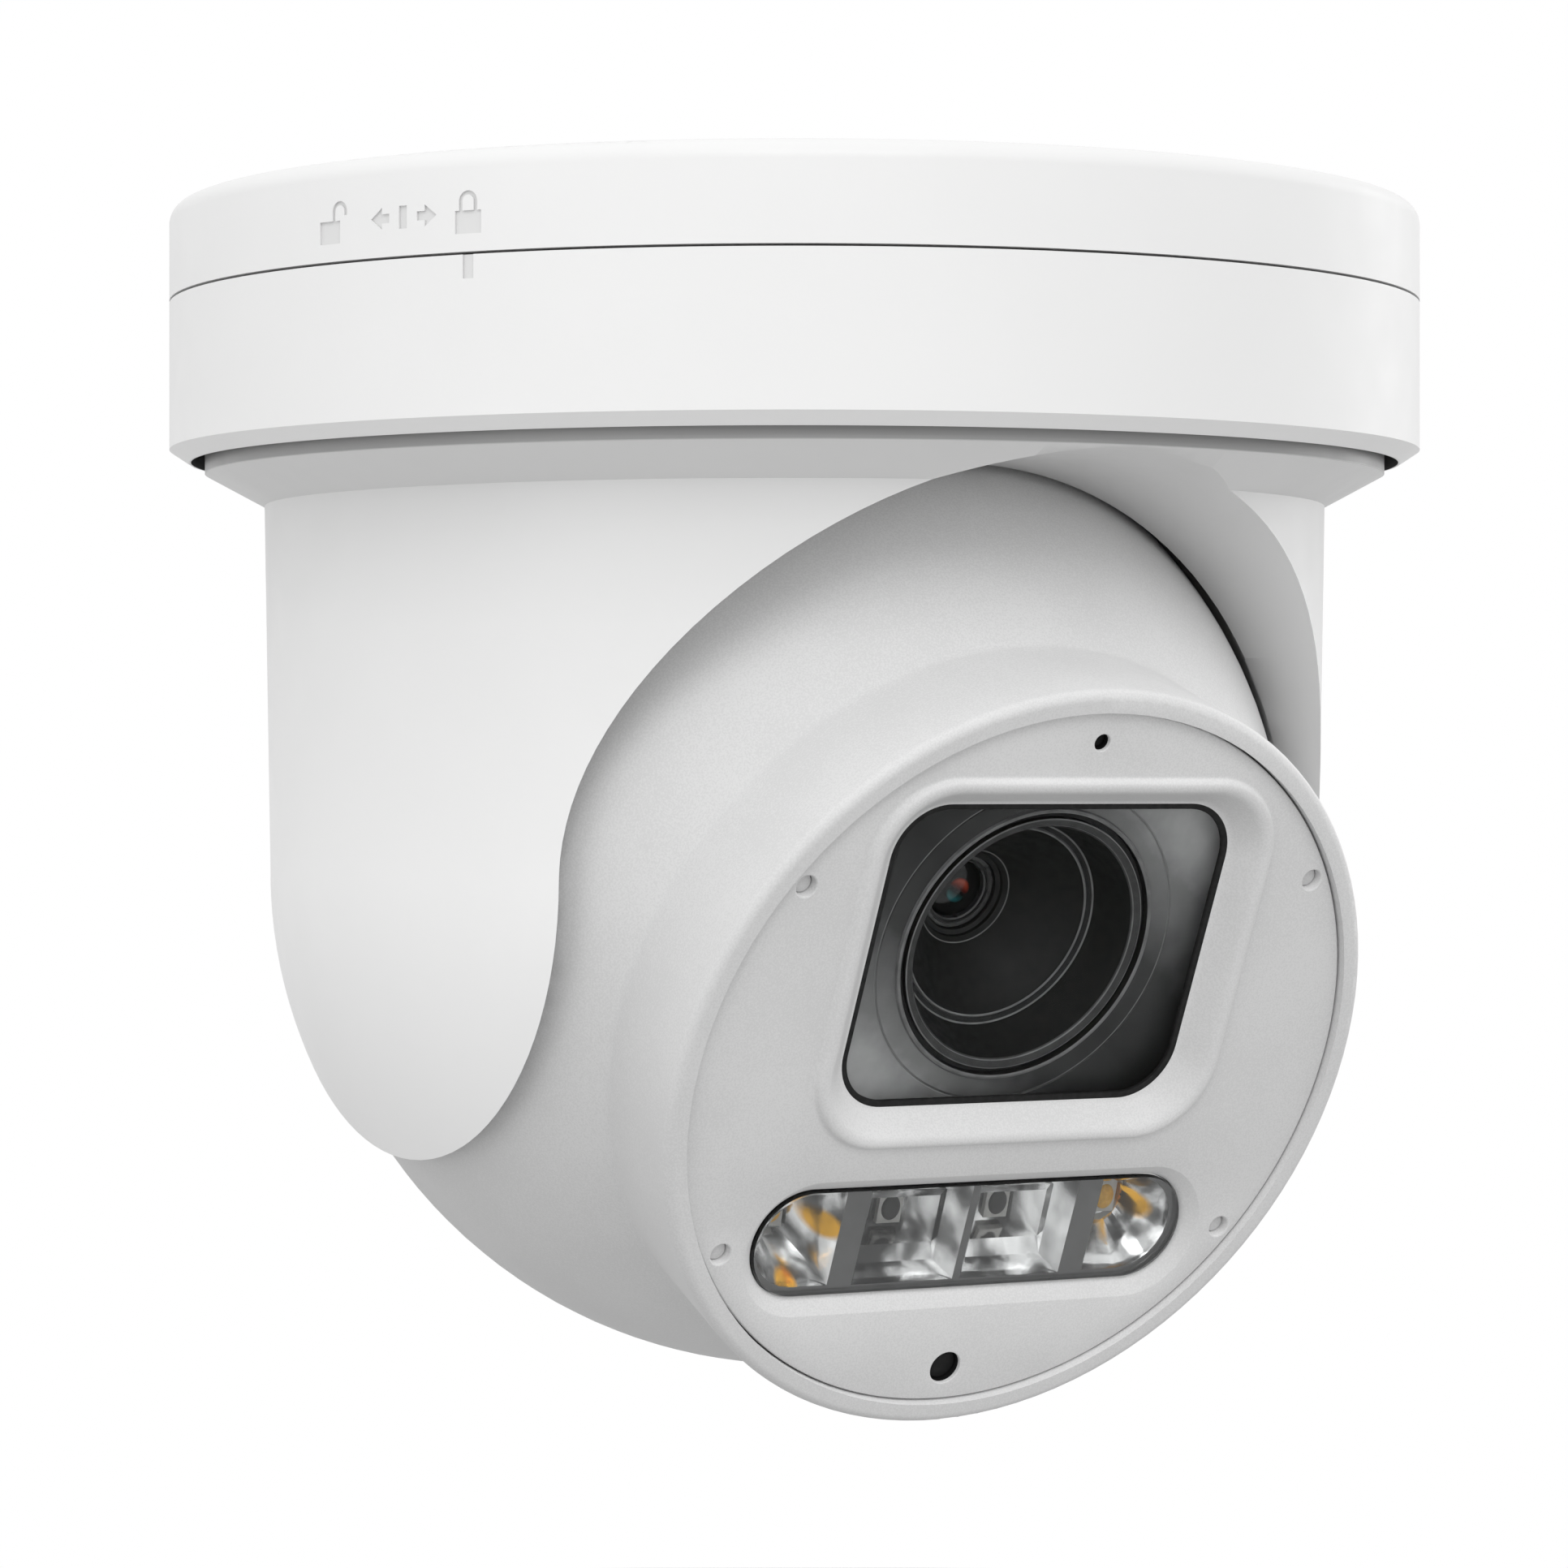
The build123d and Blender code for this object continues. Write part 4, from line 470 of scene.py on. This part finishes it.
def plated_mirror():
    """Vacuum-plated plastic with soft ripples and a painted reflection: facets facing up are paler, and amber is
    painted where they would show the lamps.
    """
    f = Finish("plated_mirror", 0.05, 1.0)
    place = f.head_place()
    facing = f.add("ShaderNodeTexCoord").outputs["Normal"]
    slope = f.add("ShaderNodeSeparateXYZ", Vector=facing)
    # painted reflection: paler on facets that face up and towards the left, broken by soft streaks
    lean = f.sum(f.sum(slope.outputs["Z"], 0.55, "MULTIPLY"), f.sum(slope.outputs["X"], -0.30, "MULTIPLY"))
    reflection_streaks = f.noise(0.0042, 1.5, f.turn((0.2, 0.3, 0.5), (1.0, 1.0, 0.7)))
    tone = f.sum(f.sum(lean, 0.62), f.spread(reflection_streaks, -0.75, 0.75))
    plain = f.tones(tone, (0.0, grey(0.05)), (0.35, grey(0.22)), (0.6, grey(0.62)), (1.0, grey(0.97)))
    for x, up in AMBER_REFLECTION_SPOTS:
        near = f.from_axis(place, (x / 1000, 0.0, up / 1000), (1, 0, 1))
        plain = f.blend(f.spread(near, 1.0, 0.0, 0.0011, 0.0017), plain, AMBER)
    f.feed(f.shader.inputs["Base Color"], plain)
    f.rough(f.noise(0.002, 3.0), 0.08, 0.2)
    return f.bump(f.noise(0.0035, 2.0), 0.00022, 0.5).material


def lamp_land():
    """The grey frame round the reflector cells."""
    f = Finish("lamp_land", 0.35, 0.2, Specular_IOR_Level=0.5)
    f.colour(f.noise(0.003, 2.0), *shades(0.16, 0.06))
    f.rough(f.noise(0.002, 2.0), 0.3, 0.45)
    return f.bump(f.noise(0.0006, 2.0), 0.00002, 0.2).material


def phosphor():
    """Yellow phosphor with a fine powdery grain."""
    f = Finish("phosphor", 0.5, Subsurface_Weight=0.2, Subsurface_Scale=0.0005)
    f.colour(f.noise(0.0004, 3.0), (0.3, (0.78, 0.40, 0.03)), (0.7, (0.92, 0.52, 0.06)))
    return f.bump(f.noise(0.0002, 2.0), 0.00003, 0.4).material


def chip_ceramic():
    """White ceramic lamp body with a fine grain."""
    f = Finish("chip_ceramic", 0.4)
    f.colour(f.noise(0.0006, 3.0), *shades(0.55, 0.08, (1.0, 0.99, 0.95)))
    return f.bump(f.noise(0.0003, 2.0), 0.00002, 0.3).material


def coated_lens():
    """Black glass with a small pupil whose coating carries a painted reflection, red on one side and blue-green on
    the other.
    """
    f = Finish("coated_lens", 0.05, Specular_IOR_Level=0.5)
    place = f.head_place()
    reach = f.from_axis(place, (0.0, 0.0, LENS_UP / 1000), (1, 0, 1))
    split = f.add("ShaderNodeSeparateXYZ", Vector=place)
    lean = f.sum(f.sum(split.outputs["X"], 0.5, "MULTIPLY"), f.sum(split.outputs["Z"], LENS_UP / 1000, "SUBTRACT"))
    # painted reflection of the coating: red towards the upper right, blue-green towards the lower left
    glow = f.tones(f.spread(lean, 0.0, 1.0, -0.0015, 0.0015), (0.0, (0.02, 0.16, 0.17)), (0.35, (0.01, 0.03, 0.03)),
                   (0.5, (0.012, 0.006, 0.005)), (0.62, (0.09, 0.012, 0.008)), (1.0, (0.50, 0.08, 0.04)))
    black = f.tones(f.noise(0.001, 2.0), *shades(0.006, 0.2))
    f.feed(f.shader.inputs["Base Color"], f.blend(f.spread(reach, 0.0, 1.0, 0.0012, 0.0016), glow, black))
    f.rough(f.noise(0.002, 2.0), 0.03, 0.08)
    return f.material


HOUSING = moulded_white()
BRACKET_WHITE = moulded_white("moulded_white_bracket", mark_shade)
BASE_WHITE = moulded_white("moulded_white_base", base_shade)
YOKE_WHITE = moulded_white("moulded_white_yoke", yoke_shade)
SHELL = textured_grey("painted_grey_shell", 0.70, 1.24, 0.80)
FACE = textured_grey("painted_grey_face", 0.71, 1.32, 0.84)
BLACK = black_plastic()
RUBBER = rubber()
STEEL = turned_metal("steel", (0.56, 0.56, 0.57), 0.32)
MOTOR_CAN = turned_metal("motor_can", (0.42, 0.42, 0.44), 0.4, (1, 1, 12))
BRASS = turned_metal("brass", (0.72, 0.53, 0.24), 0.28)
ALUMINIUM = turned_metal("aluminium", (0.7, 0.7, 0.72), 0.42, (1, 1, 1))
GEAR = acetal()
BOARD = solder_resist()
GLASS = clear_glass()
PANE = clear_glass("coated_pane", 1.06)
CHROME = plated_mirror()
LAND = lamp_land()
PHOSPHOR = phosphor()
CERAMIC = chip_ceramic()
HOLE = black_plastic("hole_black", 0.002, 0.7)
PANEL = smoked_panel()
FUNNEL = black_plastic("hood_funnel", 0.009, 0.6)
STEP = black_plastic("hood_step", 0.035, 0.5)
# a paler black on the funnel's ring edges: painted highlight
RING_HIGHLIGHT = black_plastic("hood_ring_highlight", 0.16, 0.4)
# the lens ring's black plastic, made paler as a painted highlight on its edge
RING_EDGE = black_plastic("lens_ring_black", 0.09, 0.3)
LENS_GLASS = coated_lens()

OF_SLOT = {
    "white_housing": HOUSING,
    "grey_shell": SHELL,
    "grey_face": FACE,
    "black_plastic": BLACK,
    "steel": STEEL,
    "motor_can": MOTOR_CAN,
    "brass": BRASS,
    "gear_plastic": GEAR,
    "aluminium": ALUMINIUM,
    "circuit_board": BOARD,
    "rubber": RUBBER,
    "clear_glass": GLASS,
    "chrome": CHROME,
    "phosphor": PHOSPHOR,
}
OF_NODE = {
    "ceiling_bracket": BRACKET_WHITE,
    "base_housing": BASE_WHITE,
    "yoke_housing": YOKE_WHITE,
}
EDGES_AS_MADE = ("ceiling_bracket", "base_housing", "front_shell")
CREASE = radians(32)
EDGE_ROUNDING = {  # millimetres; other nodes take FINE_EDGE
    "yoke_housing": 0.40,
    "rear_shell": 0.20,
    "service_cover": 0.25,
}
FINE_EDGE = 0.06


def finish_frame_nodes():
    """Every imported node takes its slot's finish and merged vertices, and most take small rounded edges."""
    slot_of = {row["node"]: row["material_slot"] for row in frame["record"]["subparts"]}
    for name, node in NODES.items():
        node.data.materials.clear()
        node.data.materials.append(OF_NODE.get(name) or OF_SLOT[slot_of[name]])
        node.data.polygons.foreach_set("use_smooth", [True] * len(node.data.polygons))
        weld = node.modifiers.new("merge", "WELD")
        weld.merge_threshold = MERGE
        if name in EDGES_AS_MADE:
            node.modifiers.new("edges", "EDGE_SPLIT").split_angle = CREASE
            continue
        bevel = node.modifiers.new("edges", "BEVEL")
        bevel.width = EDGE_ROUNDING.get(name, FINE_EDGE) / 1000
        bevel.segments = 3 if name in EDGE_ROUNDING else 1
        bevel.limit_method = "ANGLE"
        bevel.angle_limit = CREASE
        bevel.use_clamp_overlap = True
        normals = node.modifiers.new("normals", "WEIGHTED_NORMAL")
        normals.keep_sharp = False
        normals.weight = 80


# ---- face ----
def face_plate():
    """Flat front and back, joined by lofts through the outlines of the edge, window, lamp slot and holes."""
    edge = [(FACE_RADIUS - 0.35, FACE_FRONT), (FACE_RADIUS - 0.15, FACE_FRONT - 0.06)]
    edge += [(FACE_RADIUS - 0.04, FACE_FRONT - 0.2), (FACE_RADIUS, FACE_FRONT - 0.4), (FACE_RADIUS, FACE_BACK)]
    rise = BEZEL_RAISE
    # share of the way from window to frame, height over the face
    frame_profile = [(1.08, 0.0), (1.04, 0.03), (1.01, 0.13), (0.99, 0.3), (0.965, 0.55), (0.93, 0.75), (0.88, 0.87)]
    frame_profile += [(0.81, rise), (0.74, 0.86), (0.67, 0.74), (0.61, 0.55), (0.55, 0.28), (0.45, -0.22)]
    frame_profile += [(0.3, -0.98), (0.15, -1.74), (0.08, -2.05), (0.03, -2.14), (0.0, FACE_BACK - FACE_FRONT)]
    window_rim = [bezel_outline(share, FACE_FRONT + z) for share, z in frame_profile]
    lamp_rim = [stadium(LED_CHAMFER + 0.06, FACE_FRONT), stadium(LED_CHAMFER - 0.06, FACE_FRONT - 0.06)]
    lamp_rim += [stadium(0.12, FACE_FRONT - LED_CHAMFER + 0.1), stadium(0.0, FACE_FRONT - LED_CHAMFER)]
    lamp_rim += [stadium(0.0, FACE_BACK)]
    holes, floors = [], []
    for spot in FACE_SCREWS:
        rim = [(1.42, FACE_FRONT), (1.3, FACE_FRONT - 0.08), (1.25, FACE_FRONT - 0.2), (1.25, FACE_BACK + 0.7)]
        holes.append([circle(r, z, spot, 40) for r, z in rim + [(0.7, FACE_BACK + 0.7), (0.7, FACE_BACK)]])
    for _, _, up, radius in PORTS:
        rim = [(radius + 0.12, FACE_FRONT), (radius + 0.03, FACE_FRONT - 0.06), (radius, FACE_FRONT - 0.15)]
        holes.append([circle(r, z, (0, up), 48) for r, z in rim + [(radius, FACE_FRONT - 0.5)]])
        floors += [circle(radius, FACE_FRONT - 0.5, (0, up), 48), circle(radius, FACE_BACK, (0, up), 48)]
    rims = [window_rim, lamp_rim, *holes]
    surfaces = [loft(rim) for rim in rims] + [lathe(edge, count=256)]
    front = flat(circle(edge[0][0], FACE_FRONT, count=256), [rim[0] for rim in rims])
    behind = [rim[-1] for rim in rims[:-2]] + floors[1::2]
    back = flat(circle(FACE_RADIUS, FACE_BACK, count=256), behind)
    dark = [(*loft(floors[i:i + 2]), 1) for i in (0, 2)]
    piece("face_cover", "head", [FACE, HOLE], [*surfaces, front, back, *dark], ["face_plate"])
    low = FACE_BACK - 3.0
    for name, node, up, radius in PORTS:
        plug = [(0.0, low), (radius + 0.9, low), (radius + 0.9, FACE_BACK - 0.2), (radius - 0.02, FACE_BACK - 0.2)]
        plug += [(radius - 0.02, FACE_BACK + 0.9), (radius - 0.2, FACE_BACK + 1.05), (0.0, FACE_BACK + 1.1)]
        piece(name, "head", [HOLE], [lathe(plug, (0, up), 40)], [node])


def face_screws():
    """Four low domed screw plugs at the bottom of their recesses, one profile turned about each screw's axis."""
    low = FACE_BACK + 0.7
    profile = [(0.0, low - 1.2), (0.6, low - 1.2), (0.6, low + 0.02), (1.16, low + 0.02), (1.18, low + 0.25)]
    profile += [(1.1, low + 0.4), (0.8, low + 0.48), (0.4, low + 0.52), (0.0, low + 0.53)]
    surfaces = [lathe(profile, spot, 40) for spot in FACE_SCREWS]
    piece("face_screw_plugs", "head", [FACE], surfaces, ["face_plate_screws"])


def window_parts():
    """The gasket, a ring, and the pane, a bevelled slab: lofts through the window's outline, grown."""
    lap, show = GLASS_LAP, -0.7
    ring = [window_outline(lap, GLASS_FRONT + 0.01), window_outline(lap, FACE_BACK - 0.01)]
    ring += [window_outline(show + 0.1, FACE_BACK - 0.01), window_outline(show, FACE_BACK - 0.12)]
    ring += [window_outline(show, GLASS_FRONT + 0.01)]
    piece("window_seal", "head", [RUBBER], [loft(ring, ring=True)], ["window_gasket"])
    edge = [window_outline(lap - 0.25, GLASS_BACK + 0.02), window_outline(lap - 0.05, GLASS_BACK + 0.2)]
    edge += [window_outline(lap - 0.05, GLASS_FRONT - 0.2), window_outline(lap - 0.25, GLASS_FRONT)]
    surfaces = [loft(edge), flat(edge[0]), flat(edge[-1])]
    piece("window_pane", "head", [PANE], surfaces, ["window_glass"])


# how many steps of the well, and their finish: 0 panel, 1 funnel, 2 ring line (painted highlight on the ring edges),
# 3 step
HOOD_FINISHES = (
    (1, 0), (1, 2), (2, 0), (1, 2), (2, 2), (2, 1), (1, 1), (1, 2), (1, 3), (1, 2), (1, 3), (1, 1), (1, 1), (1, 2),
    (1, 1), (1, 1), (2, 2), (1, 1), (1, 1), (1, 1), (1, 2), (5, 1),
)


def hood():
    """A panel behind the pane with a stepped funnel, a profile turned about the lens axis."""
    top = GLASS_BACK - 0.4
    well = [(19.6, top), (19.5, top - 0.12), (19.35, top - 0.12), (19.25, top - 0.02)]
    well += [(16.9, top - 0.02), (16.75, top + 0.26), (16.5, top + 0.3), (16.3, top + 0.2), (16.2, top - 0.6)]
    well += [(15.6, top - 0.6), (15.55, top + 0.05), (15.4, top + 0.12), (14.65, top - 0.1), (14.55, top - 0.25)]
    well += [(14.4, top - 0.35), (14.2, top - 1.2), (12.7, top - 5.6), (12.5, top - 5.7), (12.3, top - 5.9)]
    well += [(11.95, top - 6.0), (11.8, top - 5.85), (11.6, top - 5.95), (11.5, top - 6.2), (8.6, top - 9.6)]
    well += [(5.9, top - 13.0), (5.75, top - 13.05), (5.6, top - 13.2), (5.3, top - 13.5), (5.2, top - 13.9)]
    well += [(4.7, top - 14.1), (4.6, top - 14.4)]
    outside = [(6.6, top - 14.4), (13.6, top - 6.6), (17.9, top - 1.2)]
    spot = (0.0, LENS_UP)
    rim = [window_outline(GLASS_LAP - 0.1, top), window_outline(GLASS_LAP - 0.1, top - 1.2)]
    front = flat(rim[0], [circle(19.6, top, spot, 128)])
    back = flat(rim[1], [circle(17.9, top - 1.2, spot, 128)])
    parts, start = [], 0
    for count, finish in HOOD_FINISHES:
        parts.append(((well + outside)[start:start + count + 1], finish))
        start += count
    parts.append(((well + outside)[start:], 1))
    surfaces = [(*front, 0), (*back, 0), (*loft(rim), 0)]
    surfaces += [(*lathe(profile, spot, 128), finish) for profile, finish in parts]
    piece("lens_hood_panel", "head", [PANEL, FUNNEL, RING_HIGHLIGHT, STEP], surfaces, ["lens_hood"], 24)


def front_lens():
    """A domed glass in a black ring, both profiles turned about the lens axis."""
    spot, low = (0.0, LENS_UP), 31.0
    ring = [(4.55, low), (4.55, low + 2.0), (4.45, low + 2.12), (4.15, low + 2.15), (4.05, low + 2.0)]
    ring += [(3.85, low + 1.85), (3.6, low + 1.7), (3.6, low)]
    piece("lens_ring", "head", [RING_EDGE], [lathe(ring, spot, 96, True)])
    glass = [(0.0, low), (3.55, low)] + dome(3.55, low + 1.0, 0.9, 14)
    piece("front_glass", "head", [LENS_GLASS], [lathe(glass, spot, 96)], ["front_lens"])


# ---- lamps ----
def square(half_x, half_y, z, centre_x):
    """Four sharp corners at half_x, half_y either side of the cell's centre."""
    corners = np.array([[1, 1], [-1, 1], [-1, -1], [1, -1]])
    return np.column_stack([centre_x + corners[:, 0] * half_x, LED_UP + corners[:, 1] * half_y, np.full(4, z)])


def end_cell(shrink, z, side):
    """A D-shaped outline: straight towards the middle, a half circle towards the window's end."""
    radius, centre, straight = 5.75 - shrink, 22.4, 17.6 + shrink * 0.9
    a = np.linspace(-pi / 2, pi / 2, 13)
    x = np.concatenate([centre + radius * np.cos(a), [straight, straight]])
    y = np.concatenate([radius * np.sin(a), [radius, -radius]])
    return np.column_stack([x * side, LED_UP + y, np.full(len(x), z)])


def lamps():
    """The clear cover, the plated cells in their grey land, and the lamp chips: lofts through stacked outlines."""
    cover = [stadium(0.9, FACE_BACK - 0.85), stadium(0.9, FACE_BACK - 0.05), stadium(-0.2, FACE_BACK - 0.05)]
    cover += [stadium(-0.2, FACE_BACK + 0.75), stadium(-0.3, FACE_BACK + 0.95), stadium(-0.55, FACE_BACK + 1.05)]
    surfaces = [loft(cover), flat(cover[0]), flat(cover[-1])]
    piece("lamp_cover", "head", [GLASS], surfaces, ["led_cover"])

    top, depth = FACE_BACK - 0.95, 5.6
    cells = []
    for x in (-SQUARE_CELL_X, SQUARE_CELL_X):
        cells.append([square(6.9, 5.9, top, x), square(6.7, 5.7, top - 0.2, x), square(5.1, 4.3, top - 2.2, x),
                      square(4.9, 2.6, top - 2.9, x), square(2.6, 2.2, top - depth, x)])
    for side in (-1, 1):
        cells.append([end_cell(0.0, top, side), end_cell(0.2, top - 0.2, side), end_cell(1.9, top - 2.4, side),
                      end_cell(3.6, top - depth, side)])
    walls = [stadium(0.7, top), stadium(0.7, top - REFLECTOR_DEPTH)]
    surfaces = [(*loft(cell), 0) for cell in cells] + [(*flat(cell[-1]), 0) for cell in cells]
    surfaces += [(*flat(walls[0], [cell[0] for cell in cells]), 1), (*loft(walls), 1), (*flat(walls[1]), 1)]
    piece("lamp_reflector", "head", [CHROME, LAND], surfaces, ["led_reflector"], 12)

    low = top - depth + 0.01
    for name, node, out, slot, lens in (
        ("warm_lamps", "white_leds", END_LAMP_X, "phosphor", PHOSPHOR),
        ("infrared_lamps", "infrared_leds", SQUARE_CELL_X, "black_plastic", BLACK),
    ):
        surfaces = []
        for x in (-out, out):
            body = [square(1.6, 1.6, low, x), square(1.6, 1.6, low + 0.55, x), square(1.35, 1.35, low + 0.6, x)]
            surfaces += [(*loft(body), 0), (*flat(body[0]), 0), (*flat(body[-1]), 0)]
            button = [(0.0, low + 0.6)] + dome(1.25, low + 0.6, 0.5, 9)
            surfaces.append((*lathe(button, (x, LED_UP), 32), 1))
        piece(name, "head", [CERAMIC, lens], surfaces, [node])


# ---- studio ----
SKY_LOW, SKY_HIGH = 0.82, 0.98  # strength below and above the horizon
FLOOR_BOUNCE = 0.56
OBJECT_MIDDLE = Vector((0, 0, -0.07))
LIGHTS = (  # place, width in metres, watts
    ("key_light", (-0.55, -1.15, 0.75), 0.7, 4.6),
    ("left_light", (-1.6, -0.5, -0.1), 0.9, 2.5),
    ("right_light", (1.4, 0.1, 0.2), 0.8, 2.5),
)


def pale_floor():
    """A pale round floor under the hanging camera, rings of growing radius at one height."""
    rim = [(1e-3, FLOOR_Z)] + [(r, FLOOR_Z) for r in np.linspace(0.2, 3.0, 15)]
    points, faces = lathe(rim, count=96)
    mesh = bpy.data.meshes.new("floor")
    mesh.from_pydata(points, [], faces)
    paper = Finish("floor_paper", 0.9)
    paper.colour(paper.noise(0.4, 2.0), *shades(0.80, 0.01))
    pale = paper.shader.inputs["Base Color"].links[0].from_socket
    seen = paper.add("ShaderNodeLightPath").outputs["Is Camera Ray"]
    paper.feed(paper.shader.inputs["Base Color"], paper.blend(seen, (*grey(FLOOR_BOUNCE), 1.0), pale))
    mesh.materials.append(paper.material)
    floor = bpy.data.objects.new("floor", mesh)
    bpy.context.scene.collection.objects.link(floor)


def white_sky():
    """An even pale sky, a little brighter overhead, that looks plain white behind the object."""
    world = bpy.data.worlds.new("sky")
    bpy.context.scene.world = world
    world.use_nodes = True
    tree = world.node_tree
    tree.nodes.clear()
    toward = tree.nodes.new("ShaderNodeTexCoord")
    split = tree.nodes.new("ShaderNodeSeparateXYZ")
    tree.links.new(toward.outputs["Generated"], split.inputs["Vector"])
    ramp = tree.nodes.new("ShaderNodeMapRange")
    tree.links.new(split.outputs["Z"], ramp.inputs["Value"])
    for socket, value in (("From Min", -0.5), ("From Max", 0.5), ("To Min", SKY_LOW), ("To Max", SKY_HIGH)):
        ramp.inputs[socket].default_value = value
    glow = tree.nodes.new("ShaderNodeBackground")
    tree.links.new(ramp.outputs["Result"], glow.inputs["Strength"])
    plain = tree.nodes.new("ShaderNodeBackground")
    plain.inputs["Color"].default_value = glow.inputs["Color"].default_value = (1, 1, 1, 1)
    ray = tree.nodes.new("ShaderNodeLightPath")
    mix = tree.nodes.new("ShaderNodeMixShader")
    tree.links.new(ray.outputs["Is Camera Ray"], mix.inputs[0])
    tree.links.new(glow.outputs[0], mix.inputs[1])
    tree.links.new(plain.outputs[0], mix.inputs[2])
    tree.links.new(mix.outputs[0], tree.nodes.new("ShaderNodeOutputWorld").inputs["Surface"])


def soft_lights():
    """Square soft lights, each turned towards the object's middle."""
    for name, place, size, power in LIGHTS:
        light = bpy.data.lights.new(name, "AREA")
        light.size = size
        light.energy = power
        lamp = bpy.data.objects.new(name, light)
        bpy.context.scene.collection.objects.link(lamp)
        lamp.location = place
        lamp.rotation_euler = (OBJECT_MIDDLE - Vector(place)).to_track_quat("-Z", "Y").to_euler()


def camera():
    """A level view from the front left, as far off as a long lens stands."""
    data = bpy.data.cameras.new("camera")
    view = bpy.data.objects.new("camera", data)
    bpy.context.scene.collection.objects.link(view)
    view.location = (-0.3301, -0.5272, -0.0689)
    view.rotation_euler = Vector((0.5307, 0.8476, 0)).to_track_quat("-Z", "Y").to_euler()
    data.sensor_width = 36.0
    data.lens = 118.2
    data.shift_x = -0.0067
    data.clip_start = 0.05
    bpy.context.scene.camera = view


finish_frame_nodes()
face_plate()
face_screws()
window_parts()
hood()
front_lens()
lamps()
pale_floor()
white_sky()
soft_lights()
camera()
bpy.context.scene.view_settings.view_transform = "Standard"
